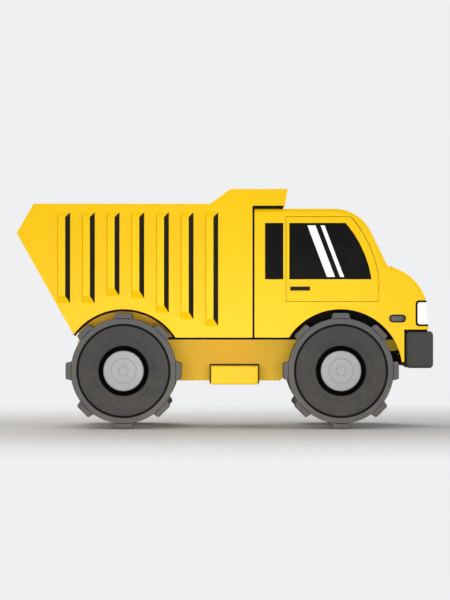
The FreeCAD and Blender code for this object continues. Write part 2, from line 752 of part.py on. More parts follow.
def make_bumper_trim():
    """Rubber strips that close the gaps above and behind the bumper."""
    body = make_body("bumper_trim")
    front = f"{NOSE_X} - Sizes.gasket / 2"
    half = "Sizes.cab_half - Sizes.gasket"
    across(body, half, [
        (f"{FRONT_AXLE} + Sizes.fender_front + Sizes.fit_gap", f"{FENDER_LOW} + Sizes.gasket"),
        (f"{BUMPER_BACK} - Sizes.fit_gap", f"{FENDER_LOW} + Sizes.gasket"),
        (f"{BUMPER_BACK} - Sizes.fit_gap", f"{BUMPER_TOP} + Sizes.fit_gap"),
        (front, f"{BUMPER_TOP} + Sizes.fit_gap"),
        (front, f"{NOSE_LOW} - Sizes.fit_gap"),
        (f"{FRONT_AXLE} + Sizes.fender_front + Sizes.fit_gap", f"{NOSE_LOW} - Sizes.fit_gap"),
    ])
    over_rails = "Sizes.frame_top + 2 * Sizes.gasket"
    cut_through(body, f"{RAIL_OUTER} + Sizes.moving_gap", box_corners(
        f"{FRONT_AXLE} + Sizes.fender_front", FENDER_LOW, BUMPER_BACK, over_rails))


def make_tail_lamps():
    """Two stop lamps on the rear lamp bar."""
    body = make_body("tail_lamps")
    tail = f"{HINGE_X} - Sizes.rail_tail"
    low = f"{REAR_RAIL_Z} - Sizes.lamp_bar_depth"
    lamp = side_slab(
        body, -1, "Sizes.lamp_bar_half - 2 * Sizes.hitch_half", "Sizes.hitch_half * 2 - Sizes.moving_gap",
        box_corners(f"{tail} - Sizes.hitch_plate", f"{low} + Sizes.moving_gap",
                    tail, f"{low} + Sizes.lamp_bar_depth - Sizes.moving_gap"))
    DOC.recompute()
    mirror(body, [lamp])


def bed_outline():
    """The bed's side as the photograph shows it, before the wheel arch is cut."""
    return [
        (BED_FRONT, DECK),
        (BED_FRONT, GUARD_LOW),
        (f"{BED_FRONT} + Sizes.guard_reach - Sizes.guard_slant", GUARD_LOW),
        (f"{BED_FRONT} + Sizes.guard_reach", GUARD_TOP),
        (f"{BED_FRONT} - Sizes.ramp_top", GUARD_TOP),
        (f"{BED_FRONT} - Sizes.ramp_foot", RIM_Z),
        (f"{REAR_AXLE} - Sizes.rim_rear", RIM_Z),
        (TAIL_X, TAIL_Z),
        (f"{REAR_AXLE} - Sizes.tail_foot", DECK),
    ]


RIB_FEET = [f"Sizes.rib_foot_{letter}" for letter in "abcdefg"]


def add_rib(body, side, front, foot):
    """One pressed rib on a bed side: its front flank, foot and top slope in to its outer face."""
    top = f"({RIM_Z} - Sizes.rib_below_rim)"
    rib = body.newObject("PartDesign::AdditiveWedge", body.Name + "_rib")
    wide = [f"{front} - Sizes.rib_width - Sizes.rib_flank / 4", f"{front} + Sizes.rib_flank", foot, top]
    narrow = [f"{front} - Sizes.rib_width", front]
    narrow += [f"{foot} + Sizes.rib_foot_taper", f"{top} - Sizes.rib_top_taper"]
    inner = "Sizes.bed_half"
    outer = "(Sizes.bed_half + Sizes.rib_depth)"
    first, last = (narrow, wide) if side < 0 else (wide, narrow)
    low, high = (f"-{outer}", f"-{inner}") if side < 0 else (inner, outer)
    names = ["Xmin", "Xmax", "Zmin", "Zmax", "X2min", "X2max", "Z2min", "Z2max"]
    rib.setExpression("Ymin", low)
    rib.setExpression("Ymax", high)
    for name, expression in zip(names, first + last):
        rib.setExpression(name, expression)


def make_bed_side(body, side):
    """One side of the bed with its wheel arch and seven pressed ribs, each with a sloping front flank."""
    side_slab(body, side, BED_INNER, "Sizes.bed_wall", bed_outline())
    arch = circle(make_sketch(body, "side", side_offset(side, BED_INNER)), REAR_AXLE, AXLE_Z, ARCH_RADIUS)
    pocket(body, arch, "Sizes.bed_wall", backwards=side < 0)
    first = f"({REAR_AXLE} - Sizes.first_rib)"
    pitch = f"(({BED_FRONT} - Sizes.last_rib - {first}) / {len(RIB_FEET) - 1})"
    for i, foot in enumerate(RIB_FEET):
        add_rib(body, side, f"({first} + {i} * {pitch})", f"({AXLE_Z} + {foot})")


def make_bed_sides():
    """Both sides of the bed."""
    body = make_body("bed_sides")
    for side in (-1, 1):
        make_bed_side(body, side)


def chute_rise():
    """The chute's direction from its foot to the tail, as a length along X and one along Z."""
    run = f"({CHUTE_X} - {TAIL_X})"
    rise = f"({TAIL_Z} - {DECK})"
    return run, rise


def make_bed_floor():
    """Flat floor that bends up into the discharge chute over the rear wheels."""
    body = make_body("bed_floor")
    run, rise = chute_rise()
    slant = f"sqrt({run}^2 + {rise}^2)"
    lift_x = f"(Sizes.bed_wall * {rise} / {slant})"
    lift_z = f"(Sizes.bed_wall * {run} / {slant})"
    knee = f"(Sizes.bed_wall * ({slant} - {run}) / {rise})"
    across(body, BED_INNER, [
        (f"{BED_FRONT} - Sizes.bed_wall", DECK),
        (f"{BED_FRONT} - Sizes.bed_wall", f"{DECK} + Sizes.bed_wall"),
        (f"{CHUTE_X} + {knee}", f"{DECK} + Sizes.bed_wall"),
        (f"{TAIL_X} + {lift_x}", f"{TAIL_Z} + {lift_z}"),
        (TAIL_X, TAIL_Z),
        (CHUTE_X, DECK),
    ])


def make_bed_headboard():
    """Front wall of the bed, up to the cab guard."""
    body = make_body("bed_headboard")
    across(body, BED_INNER, box_corners(
        f"{BED_FRONT} - Sizes.bed_wall", DECK, BED_FRONT, f"{GUARD_TOP} - Sizes.bed_wall"))


def make_cab_guard():
    """Canopy over the cab's roof: a plate, its front lip and two stiffeners below it."""
    body = make_body("cab_guard")
    tip = f"{BED_FRONT} + Sizes.guard_reach"
    under = f"{GUARD_TOP} - Sizes.bed_wall"
    drop = f"({GUARD_TOP} - {GUARD_LOW})"
    lean = f"(Sizes.guard_slant * Sizes.bed_wall / {drop})"
    across(body, BED_INNER, [
        (f"{BED_FRONT} - Sizes.bed_wall", under),
        (f"{BED_FRONT} - Sizes.bed_wall", GUARD_TOP),
        (tip, GUARD_TOP),
        (f"{tip} - Sizes.guard_slant", GUARD_LOW),
        (f"{tip} - Sizes.guard_slant - Sizes.guard_lip", GUARD_LOW),
        (f"{tip} - Sizes.guard_lip - {lean}", under),
    ])
    lip_back = f"{tip} - Sizes.guard_slant - Sizes.guard_lip"
    for side in (-1, 1):
        side_slab(body, side, f"{BED_INNER} / 3", "Sizes.guard_lip", box_corners(
            BED_FRONT, f"{GUARD_LOW} + Sizes.bed_wall", lip_back, under))


def make_bed_sills():
    """Two wedge sills under the chute, their hinge ears, and the bracket for the hoist's head."""
    run, rise = chute_rise()
    slope = f"({rise} / {run})"
    tip_x = f"({REAR_AXLE} - Sizes.sill_tip)"
    body = make_body("bed_sills")
    wedge = [
        (CHUTE_X, DECK),
        (tip_x, f"{DECK} + ({CHUTE_X} - {tip_x}) * {slope}"),
        (f"{REAR_AXLE} - Sizes.sill_tail", DECK),
    ]
    ear = [
        (f"{HINGE_X} + Sizes.ear_radius * 1.6", DECK),
        (f"{HINGE_X} - Sizes.ear_radius * 0.6", DECK),
        (f"{HINGE_X} - Sizes.ear_radius", HINGE_Z),
        (HINGE_X, f"{HINGE_Z} - Sizes.ear_radius"),
        (f"{HINGE_X} + Sizes.ear_radius", HINGE_Z),
    ]
    ear_arcs = {2: ("Sizes.ear_radius", "ccw"), 3: ("Sizes.ear_radius", "ccw")}
    ear_in = f"{RAIL_OUTER} + Sizes.moving_gap"
    for side in (-1, 1):
        side_slab(body, side, "Sizes.rail_inner", "Sizes.sill_width", wedge)
        side_slab(body, side, ear_in, "Sizes.ear_width", ear, ear_arcs)
    across(body, RAIL_OUTER, box_corners(
        f"{REAR_AXLE} + Sizes.kick_rear", DECK,
        f"{REAR_AXLE} + Sizes.kick_rear + Sizes.member_length", f"{DECK} + Sizes.member_height"))
    bore = circle(make_sketch(body, "side"), HINGE_X, HINGE_Z, "Sizes.hinge_pin + Sizes.shaft_gap")
    pocket(body, bore, f"2 * ({RAIL_OUTER} + Sizes.rail_width)", middle=True)


def make_hoist_bracket():
    """Pairs of lugs under the bed's floor, inside the rails, on each side of the hoist rods' eyes."""
    body = make_body("hoist_bracket")
    lug = [
        (f"{HOIST_HEAD_X} + Sizes.eye_radius", DECK),
        (f"{HOIST_HEAD_X} - Sizes.eye_radius", DECK),
        (f"{HOIST_HEAD_X} - Sizes.eye_radius", HOIST_HEAD_Z),
        (f"{HOIST_HEAD_X} - Sizes.eye_radius / 2", f"{HOIST_HEAD_Z} - Sizes.eye_radius"),
        (f"{HOIST_HEAD_X} + Sizes.eye_radius / 2", f"{HOIST_HEAD_Z} - Sizes.eye_radius"),
        (f"{HOIST_HEAD_X} + Sizes.eye_radius", HOIST_HEAD_Z),
    ]
    inner = "Sizes.hoist_offset - Sizes.eye_half - Sizes.eye_gap - Sizes.lug_plate"
    outer = "Sizes.hoist_offset + Sizes.eye_half + Sizes.eye_gap"
    for side in (-1, 1):
        side_slab(body, side, inner, "Sizes.lug_plate", lug)
        side_slab(body, side, outer, "Sizes.lug_plate", lug)


def hoist_line():
    """Foot and head of the hoist at rest, and its direction."""
    foot = FreeCAD.Vector(number(HOIST_FOOT_X), 0, number(HOIST_FOOT_Z))
    head = FreeCAD.Vector(number(HOIST_HEAD_X), 0, number(HOIST_HEAD_Z))
    return foot, head, (head - foot).normalize()


def add_feature(label, shape):
    """A sub-part whose shape is made with Part's own functions."""
    feature = DOC.addObject("Part::Feature", "Part_" + label)
    feature.Label = label
    feature.Shape = shape
    SUB_PARTS.append(feature)
    return feature


def bar(radius, start, finish, sides=24):
    """A bar between two points in the truck's length, many-sided to keep its faces few."""
    level = FreeCAD.Vector(0, 1, 0)
    upright = (finish - start).cross(level).normalize()
    turns = [2 * math.pi * i / sides for i in range(sides + 1)]
    corners = [start + (level * math.cos(turn) + upright * math.sin(turn)) * radius for turn in turns]
    return Part.Face(Part.makePolygon(corners)).extrude(finish - start)


def end_block(middle, along, back, ahead, half, width):
    """A square block across Y at a point, for the foot of a barrel or the neck of an eye."""
    up = FreeCAD.Vector(-along.z, 0, along.x)
    base = middle - FreeCAD.Vector(0, width, 0)
    corners = [base - along * back - up * half, base + along * ahead - up * half,
               base + along * ahead + up * half, base - along * back + up * half]
    return Part.Face(Part.makePolygon(corners + corners[:1])).extrude(FreeCAD.Vector(0, 2 * width, 0))


def make_hoist():
    """Two two-stage rams side by side on a common foot shaft. Each rod ends in an eye."""
    foot, head, along = hoist_line()
    offset = number("Sizes.hoist_offset")
    barrel = number("Sizes.barrel_radius")
    sleeve = number("Sizes.sleeve_radius")
    rod = number("Sizes.rod_radius")
    eye = number("Sizes.eye_radius")
    eye_half = number("Sizes.eye_half")
    block = number("Sizes.foot_half")
    pin = number("Sizes.hoist_pin")
    extra = number("Sizes.sleeve_extra")
    gap = number("Sizes.fit_gap")
    inner = number("Sizes.rail_inner - Sizes.moving_gap")
    across_y = FreeCAD.Vector(0, 1, 0)
    closed = (head - foot).Length
    length = closed - eye - number("Sizes.rod_shown") - extra
    barrels = Part.makeCylinder(pin, 2 * inner, foot - across_y * inner, across_y)
    sleeves = []
    rods = []
    for side in (-1, 1):
        shift = across_y * offset * side
        start = foot + shift
        barrels = barrels.fuse(bar(barrel, start + along * block, start + along * length))
        barrels = barrels.fuse(end_block(start, along, block, block, block, block))
        cavity = bar(sleeve + gap, start + along * (block + extra), start + along * (length + gap))
        barrels = barrels.cut(cavity)
        low = start + along * (block + 2 * extra)
        top = start + along * (length + extra)
        sleeves.append(bar(sleeve, low, top).cut(bar(rod + gap, low, top)))
        piston = bar(rod, start + along * (block + 3 * extra), start + along * (closed - eye))
        head_eye = Part.makeCylinder(eye, 2 * eye_half, head + shift - across_y * eye_half, across_y)
        neck = end_block(head + shift, along, eye + gap, 0, eye_half, eye_half)
        rods.append(piston.fuse([head_eye, neck]).removeSplitter())
    add_feature("hoist_barrels", barrels.removeSplitter())
    add_feature("hoist_sleeves", Part.makeCompound(sleeves))
    add_feature("hoist_rods", Part.makeCompound(rods))


def roof_point(radius, angle):
    """A point on an arc about the centre of the roof's front curve."""
    return (f"{ROOF_ARC_X} + ({radius}) * cos({angle})", f"{ROOF_ARC_Z} + ({radius}) * sin({angle})")


def screen_point(radius, distance):
    """A point down the windscreen's slope from the end of the roof's curve."""
    x, z = roof_point(radius, "90 - Sizes.screen_angle")
    down = f"{z} - ({distance}) * sin(Sizes.screen_angle)"
    return (f"{x} + ({distance}) * cos(Sizes.screen_angle)", down)


def nose_point(radius, angle):
    """A point on an arc about the centre of the nose's curve."""
    return (f"{NOSE_ARC_X} + ({radius}) * cos({angle})", f"{NOSE_ARC_Z} + ({radius}) * sin({angle})")


def arc_at_x(radius, x, centre_x, centre_z):
    """Height of an arc's upper half at a given X."""
    return f"{centre_z} + sqrt(({radius})^2 - ({x} - {centre_x})^2)"


def door_corners(grow):
    """The door's outline, grown by a gap for its opening. Its front edge bows along the pillar."""
    rear = f"{FRONT_AXLE} - Sizes.door_rear - ({grow})"
    front = f"{FRONT_AXLE} + Sizes.door_front + ({grow})"
    top = f"{WINDOW_TOP} + Sizes.door_header + ({grow})"
    return [
        (rear, f"{DOOR_LOW} - ({grow})"),
        (front, f"{DOOR_LOW} - ({grow})"),
        (front, SILL_Z),
        (f"{FRONT_AXLE} + Sizes.door_top_front + ({grow})", top),
        (rear, top),
    ]


DOOR_ARCS = {2: ("Sizes.window_bow", "ccw")}


def door_window():
    """Corners of the door's window, whose front edge bows as the door's does."""
    return [
        (f"{FRONT_AXLE} - Sizes.door_window_rear", SILL_Z),
        (f"{FRONT_AXLE} + Sizes.door_window_front", SILL_Z),
        (f"{FRONT_AXLE} + Sizes.door_window_top", WINDOW_TOP),
        (f"{FRONT_AXLE} - Sizes.door_window_rear", WINDOW_TOP),
    ]


WINDOW_ARCS = {1: ("Sizes.window_bow", "ccw")}


def cut_through(body, half, corners, arcs=None):
    """Cuts a slot of an outline across the truck."""
    sketch = outline(make_sketch(body, "side"), corners, arcs)
    return pocket(body, sketch, f"2 * ({half})", middle=True)


def lamp_corners(inset):
    """Outline of a headlamp from the side. Its rear corners are rounded and its front passes the nose."""
    rear = f"{NOSE_X} - Sizes.lamp_length + ({inset})"
    low = f"{LAMP_LOW} + ({inset})"
    high = f"{LAMP_LOW} + Sizes.lamp_height - ({inset})"
    turn = f"(Sizes.lamp_round - ({inset}) / 2)"
    return [
        (f"{NOSE_X} + Sizes.moving_gap", low),
        (f"{NOSE_X} + Sizes.moving_gap", high),
        (f"{rear} + {turn}", high),
        (rear, f"{high} - {turn}"),
        (rear, f"{low} + {turn}"),
        (f"{rear} + {turn}", low),
    ], {2: (turn, "ccw"), 4: (turn, "ccw")}


def bevel_nose(body, side):
    """Bevels one side edge of the nose: straight up its face, then turned about the curve's own centre."""
    sign = "" if side > 0 else "-"
    cut = "Sizes.edge_bevel"
    spare = "Sizes.moving_gap"
    face = "Sizes.nose_radius"
    corners = [
        (f"{face} - {cut}", f"{sign}Sizes.cab_half"),
        (face, f"{sign}(Sizes.cab_half - {cut})"),
        (f"{face} + {spare}", f"{sign}(Sizes.cab_half - {cut})"),
        (f"{face} + {spare}", f"{sign}(Sizes.cab_half + {spare})"),
        (f"{face} - {cut}", f"{sign}(Sizes.cab_half + {spare})"),
    ]
    upright = outline(centred_sketch(body), corners)
    pocket(body, upright, f"Sizes.nose_drop + {spare}")
    groove = body.newObject("PartDesign::Groove", body.Name + "_groove")
    groove.Profile = outline(centred_sketch(body), corners)
    groove.ReferenceAxis = (groove.Profile[0], ["V_Axis"])
    groove.setExpression("Angle", "Sizes.bevel_turn")
    groove.Reversed = True


def centred_sketch(body):
    """A level sketch whose own origin is on the centre line of the nose's curve."""
    sketch = make_sketch(body, "plan", NOSE_ARC_Z)
    sketch.setExpression("AttachmentOffset.Base.x", NOSE_ARC_X)
    return sketch


def cab_outer(body):
    """The cab's outside as two slabs: the house with its roof and screen, and the nose with its fenders."""
    house = across(body, "Sizes.cab_half", [
        (CAB_REAR, DECK),
        (CAB_REAR, ROOF_Z),
        (ROOF_ARC_X, ROOF_Z),
        screen_point("Sizes.roof_radius", "0"),
        screen_point("Sizes.roof_radius", SCREEN_LENGTH),
        (screen_point("Sizes.roof_radius", SCREEN_LENGTH)[0], DECK),
    ], {2: ("Sizes.roof_radius", "cw")})
    roof = number(ROOF_Z)
    half = number("Sizes.cab_half")
    sill = number(SILL_Z)

    def roof_edge(edge):
        box = edge.BoundBox
        return box.YLength < 1 and abs(abs(box.YMin) - half) < 1 and box.XLength > 1 and box.ZMin > sill

    chamfer(body, house, "Sizes.edge_bevel", roof_edge)
    nose_start = f"{FIREWALL_X} - Sizes.cab_wall"
    across(body, "Sizes.cab_half", [
        (nose_start, FENDER_LOW),
        (nose_start, arc_at_x("Sizes.nose_radius", nose_start, NOSE_ARC_X, NOSE_ARC_Z)),
        (NOSE_X, NOSE_ARC_Z),
        (NOSE_X, NOSE_LOW),
        (f"{FRONT_AXLE} + Sizes.fender_front", NOSE_LOW),
        (f"{FRONT_AXLE} + Sizes.fender_front", FENDER_LOW),
    ], {1: ("Sizes.nose_radius", "cw")})
    for side in (-1, 1):
        bevel_nose(body, side)


def make_cab_shell():
    """Hollow cab and nose in one panelled shell, with door, window, hood, grille and lamp openings cut."""
    body = make_body("cab_shell")
    cab_outer(body)
    wall = "Sizes.cab_wall"
    below = BELLY_Z
    inner_roof = "Sizes.roof_radius - Sizes.cab_wall"
    top_x, top_z = screen_point(inner_roof, "0")
    drop = f"({FIREWALL_X} - ({top_x})) * tan(Sizes.screen_angle)"
    cut_through(body, CAB_INNER, [
        (f"{CAB_REAR} + {wall}", below),
        (f"{CAB_REAR} + {wall}", f"{ROOF_Z} - {wall}"),
        (ROOF_ARC_X, f"{ROOF_Z} - {wall}"),
        (top_x, top_z),
        (FIREWALL_X, f"{top_z} - {drop}"),
        (FIREWALL_X, below),
    ], {2: (inner_roof, "cw")})
    bay = f"({FIREWALL_X} + {wall})"
    cut_through(body, CAB_INNER, [
        (bay, below),
        (bay, arc_at_x("Sizes.nose_radius - Sizes.cab_wall", bay, NOSE_ARC_X, NOSE_ARC_Z)),
        (f"{NOSE_X} - {wall}", NOSE_ARC_Z),
        (f"{NOSE_X} - {wall}", below),
    ], {1: ("Sizes.nose_radius - Sizes.cab_wall", "cw")})
    arch = circle(make_sketch(body, "side"), FRONT_AXLE, AXLE_Z, ARCH_RADIUS)
    pocket(body, arch, "2 * Sizes.cab_half", middle=True)
    well = wheel_arch(f"({HOUSING_OUTSIDE} + Sizes.fit_gap)", (-15, 15, 45, 75, 105, 135, 165, 195))
    cut_through(body, "Sizes.cab_half - Sizes.arch_lip", well)
    cut_through(body, f"{RAIL_OUTER} + Sizes.fit_gap", box_corners(
        f"{FIREWALL_X} - {wall}", below, f"{bay} + Sizes.fit_gap", FLOOR_LOW))
    cut_through(body, "Sizes.cab_half", door_corners("Sizes.panel_gap"), DOOR_ARCS)
    cut_through(body, "Sizes.cab_half", box_corners(
        f"{FRONT_AXLE} - Sizes.quarter_rear", SILL_Z,
        f"{FRONT_AXLE} - Sizes.quarter_front", WINDOW_TOP))
    deep = "Sizes.cab_wall + Sizes.moving_gap"
    cut_through(body, SCREEN_HALF, *screen_band("-Sizes.moving_gap", deep))
    cut_through(body, f"{HOOD_HALF} + Sizes.panel_gap", *hood_band("-Sizes.moving_gap", deep, "0.5"))
    cut_through(body, GRILLE_HALF, box_corners(
        f"{NOSE_X} - {wall} - 1", GRILLE_LOW, f"{NOSE_X} + 1", GRILLE_TOP))
    corners, arcs = lamp_corners("0")
    for side in (-1, 1):
        sketch = outline(make_sketch(body, "side", side_offset(side, LAMP_INNER)), corners, arcs)
        pocket(body, sketch, f"Sizes.cab_half - {LAMP_INNER}", backwards=side < 0)
    leaf_y = "Sizes.cab_half"
    for side in (-1, 1):
        for low in HINGE_FEET:
            add_hinge_half(body, side, low, 1, leaf_y)


HINGE_FEET = (f"({DOOR_LOW} + Sizes.hinge_foot)", f"({SILL_Z} - Sizes.hinge_head)")


def hinge_axis():
    """Plan position of the door's hinge, just outside the cab's side."""
    x = f"({FRONT_AXLE} + Sizes.door_front + Sizes.panel_gap / 2)"
    y = "(Sizes.cab_half + Sizes.hinge_barrel + 1)"
    return x, y


def add_hinge_half(body, side, low, way, face):
    """Half of a door hinge: a leaf on the panel's face and its half of the barrel."""
    x, y = hinge_axis()
    sign = "" if side > 0 else "-"
    first = x if way > 0 else f"{x} - Sizes.hinge_leaf_length"
    last = f"{x} + Sizes.hinge_leaf_length" if way > 0 else x
    leaf = rectangle(
        make_sketch(body, "plan", low), first, f"{sign}({face})",
        last, f"{sign}({face} + Sizes.hinge_leaf)")
    pad(body, leaf, "Sizes.hinge_half")
    barrel = circle(make_sketch(body, "plan", low), x, f"{sign}{y}", "Sizes.hinge_barrel")
    pad(body, barrel, "Sizes.hinge_half")


def screen_band(start, finish):
    """A band that follows the windscreen, from one depth below the surface to another."""
    outer = f"Sizes.roof_radius - ({start})"
    inner = f"Sizes.roof_radius - ({finish})"
    end = f"{SCREEN_LENGTH} - Sizes.screen_foot"
    return [
        roof_point(outer, "Sizes.screen_top"),
        screen_point(outer, "0"),
        screen_point(outer, end),
        screen_point(inner, end),
        screen_point(inner, "0"),
        roof_point(inner, "Sizes.screen_top"),
    ], {0: (outer, "cw"), 4: (inner, "ccw")}


def hood_band(start, finish, spare):
    """A band that follows the nose's curve over the hood's length."""
    outer = f"Sizes.nose_radius - ({start})"
    inner = f"Sizes.nose_radius - ({finish})"
    low = f"Sizes.hood_start - ({spare})"
    high = f"Sizes.hood_end + ({spare})"
    return [
        nose_point(outer, high),
        nose_point(outer, low),
        nose_point(inner, low),
        nose_point(inner, high),
    ], {0: (outer, "cw"), 2: (inner, "ccw")}


def make_cab_floor():
    """Floor plate of the cab, over the wheel housings."""
    body = make_body("cab_floor")
    across(body, CAB_INNER, box_corners(
        f"{CAB_REAR} + Sizes.cab_wall", FLOOR_LOW, FIREWALL_X,
        FLOOR_Z))


def make_wheel_housings():
    """Inner arches over the front wheels, folded from flat sheet, each with an inner wall."""
    body = make_body("wheel_housings")
    foot = f"({DECK} - {AXLE_Z})"
    front = "(Sizes.fender_front - Sizes.moving_gap)"
    rear_out = f"(({HOUSING_OUTSIDE} - {foot} * sin(30)) / cos(30))"
    rear_in = f"(({HOUSING_INSIDE} - {foot} * sin(30)) / cos(30))"
    front_out = f"(({HOUSING_OUTSIDE} - {front} * cos(30)) / sin(30))"
    front_in = f"(({HOUSING_INSIDE} - {front} * cos(30)) / sin(30))"
    inner = f"({RAIL_OUTER} + Sizes.fit_gap)"
    reach = f"Sizes.cab_half - Sizes.arch_lip - Sizes.fit_gap - {inner}"
    hoop = [(f"{FRONT_AXLE} - {rear_out}", DECK)]
    hoop += wheel_arch(HOUSING_OUTSIDE, (135, 105, 75, 45))
    hoop += [(f"{FRONT_AXLE} + {front}", f"{AXLE_Z} + {front_out}")]
    hoop += [(f"{FRONT_AXLE} + {front}", f"{AXLE_Z} + {front_in}")]
    hoop += wheel_arch(HOUSING_INSIDE, (45, 75, 105, 135))
    hoop += [(f"{FRONT_AXLE} - {rear_in}", DECK)]
    wall = [(f"{FRONT_AXLE} - {rear_out}", DECK)]
    wall += wheel_arch(HOUSING_OUTSIDE, (135, 105, 75, 45))
    wall += [(f"{FRONT_AXLE} + {rear_out}", DECK)]
    for side in (-1, 1):
        side_slab(body, side, inner, reach, hoop)
        side_slab(body, side, inner, "Sizes.housing_wall", wall)


def make_cab_glass():
    """Windscreen and the two quarter windows."""
    body = make_body("cab_glass")
    depth = "(Sizes.cab_wall - Sizes.glass_thick) / 2"
    across(body, SCREEN_HALF, *screen_band(depth, f"{depth} + Sizes.glass_thick"))
    for side in (-1, 1):
        side_slab(body, side, f"{CAB_INNER} + {depth}", "Sizes.glass_thick", box_corners(
            f"{FRONT_AXLE} - Sizes.quarter_rear", SILL_Z,
            f"{FRONT_AXLE} - Sizes.quarter_front", WINDOW_TOP))


def make_door(side_name, side):
    """Cab door with its window frame, hinge halves, glass and pull handle."""
    body = make_body(f"door_{side_name}")
    side_slab(body, side, CAB_INNER, "Sizes.cab_wall", door_corners("0"), DOOR_ARCS)
    hole = outline(make_sketch(body, "side", side_offset(side, CAB_INNER)), door_window(), WINDOW_ARCS)
    pocket(body, hole, "Sizes.cab_wall", backwards=side < 0)
    for low in HINGE_FEET:
        add_hinge_half(body, side, f"{low} + Sizes.hinge_half + 1", -1, "Sizes.cab_half")
    glass = make_body(f"door_glass_{side_name}")
    depth = "(Sizes.cab_wall - Sizes.glass_thick) / 2"
    side_slab(glass, side, f"{CAB_INNER} + {depth}", "Sizes.glass_thick", door_window(), WINDOW_ARCS)
    handle = make_body(f"door_handle_{side_name}")
    rear = f"{FRONT_AXLE} - Sizes.handle_rear"
    low = f"{SILL_Z} - Sizes.handle_drop"
    side_slab(handle, side, "Sizes.cab_half", "Sizes.handle_depth", box_corners(
        rear, low, f"{rear} + Sizes.handle_length", f"{low} + Sizes.handle_height"))


def make_hood():
    """Curved hood panel between the fenders, with two hinge barrels on its rear edge."""
    body = make_body("hood")
    across(body, HOOD_HALF, *hood_band("0", "Sizes.hood_thick", "0"))
    edge = "(Sizes.hood_end + 0.25)"
    centre = "(Sizes.nose_radius + Sizes.hinge_barrel + 1)"
    leaf = [
        nose_point("Sizes.nose_radius - 1", "Sizes.hood_end - 1.4"),
        nose_point(centre, "Sizes.hood_end - 1.4"),
        nose_point(centre, edge),
        nose_point(f"{centre} - Sizes.hinge_leaf", edge),
    ]
    x, z = nose_point(centre, edge)
    start = f"({HOOD_HALF} - 4 * Sizes.hinge_half)"
    for side in (-1, 1):
        side_slab(body, side, start, "2 * Sizes.hinge_half", leaf)
        barrel = circle(make_sketch(body, "side", side_offset(side, start)), x, z, "Sizes.hinge_barrel")
        pad(body, barrel, "2 * Sizes.hinge_half", backwards=side > 0)


def make_grille():
    """Grille frame with level bars, set in the nose."""
    body = make_body("grille")
    back = f"{NOSE_X} - Sizes.cab_wall"
    across(body, GRILLE_HALF, box_corners(
        back, GRILLE_LOW, f"{NOSE_X} - Sizes.moving_gap", GRILLE_TOP))
    low = f"({GRILLE_LOW} + Sizes.grille_frame)"
    high = f"({GRILLE_TOP} - Sizes.grille_frame)"
    slots = "(Sizes.grille_bars + 1)"
    slot = f"(({high} - {low} - Sizes.grille_bars * Sizes.grille_bar) / {slots})"
    for i in range(int(number(slots))):
        start = f"{low} + {i} * ({slot} + Sizes.grille_bar)"
        cut_through(body, f"{GRILLE_HALF} - Sizes.grille_frame", box_corners(
            back, start, NOSE_X, f"{start} + {slot}"))


def lamp_solid(side, inset, reach, name):
    """A headlamp form that follows the nose's curve."""
    body = DOC.addObject("PartDesign::Body", name)
    corners, arcs = lamp_corners(inset)
    sketch = outline(
        make_sketch(body, "side", side_offset(side, f"{LAMP_INNER} + {inset}")), corners, arcs)
    pad(body, sketch, reach, backwards=side > 0)
    return body


def nose_form():
    """The outside of the nose, with its rounded edges, for trimming the lamps."""
    body = DOC.addObject("PartDesign::Body", "Nose_form")
    cab_outer(body)
    DOC.recompute()
    return body.Shape.copy(), body


def make_headlamps():
    """White corner lamps and their rubber gaskets, flush with the nose, and the marker lamps' rims."""
    form, form_body = nose_form()
    lenses = []
    gaskets = []
    spare = []
    reach = f"Sizes.cab_half - {LAMP_INNER}"
    for side in (-1, 1):
        outer = lamp_solid(side, "0", reach, f"Lamp_gasket_{side + 1}")
        inner = lamp_solid(side, "Sizes.gasket", reach, f"Lamp_lens_{side + 1}")
        DOC.recompute()
        lens = inner.Shape.common(form)
        lenses.append(lens)
        gaskets.append(outer.Shape.common(form).cut(inner.Shape))
        spare += [outer, inner]
    add_feature("headlamps", Part.makeCompound([s for lens in lenses for s in lens.Solids]))
    add_feature("headlamp_gaskets", Part.makeCompound([s for ring in gaskets for s in ring.Solids]))
    for body in spare + [form_body]:
        for feature in reversed(body.Group):
            DOC.removeObject(feature.Name)
        DOC.removeObject(body.Name)


def pill(inset):
    """A level rounded slot about the marker lamp's centre."""
    half = f"(Sizes.marker_width / 2 - ({inset}))"
    x = f"({FRONT_AXLE} + Sizes.marker_centre)"
    run = "((Sizes.marker_length - Sizes.marker_width) / 2)"
    z = f"({NOSE_LOW} + Sizes.marker_rise)"
    return [
        (f"{x} - {run}", f"{z} - {half}"),
        (f"{x} + {run}", f"{z} - {half}"),
        (f"{x} + {run} + {half}", z),
        (f"{x} + {run}", f"{z} + {half}"),
        (f"{x} - {run}", f"{z} + {half}"),
        (f"{x} - {run} - {half}", z),
    ], {1: (half, "ccw"), 2: (half, "ccw"), 4: (half, "ccw"), 5: (half, "ccw")}


def make_markers():
    """Side marker lamps on the fenders, each on a black rim."""
    rims = make_body("marker_rims")
    lamps = make_body("marker_lamps")
    for side in (-1, 1):
        side_slab(rims, side, "Sizes.cab_half", "Sizes.marker_depth", *pill("0"))
        side_slab(lamps, side, "Sizes.cab_half + Sizes.marker_depth", "Sizes.marker_depth",
                  *pill("Sizes.marker_rim"))


def make_cab_seal():
    """Rubber strip behind the cab and over its roof, just clear of the bed."""
    body = make_body("cab_seal")
    face = f"{BED_FRONT} + Sizes.panel_gap"
    across(body, "Sizes.cab_half - Sizes.seal_inset", [
        (face, DECK),
        (face, f"{GUARD_LOW} - Sizes.moving_gap"),
        (f"{CAB_REAR} + Sizes.seal_reach", f"{GUARD_LOW} - Sizes.moving_gap"),
        (f"{CAB_REAR} + Sizes.seal_reach", ROOF_Z),
        (CAB_REAR, ROOF_Z),
        (CAB_REAR, DECK),
    ])


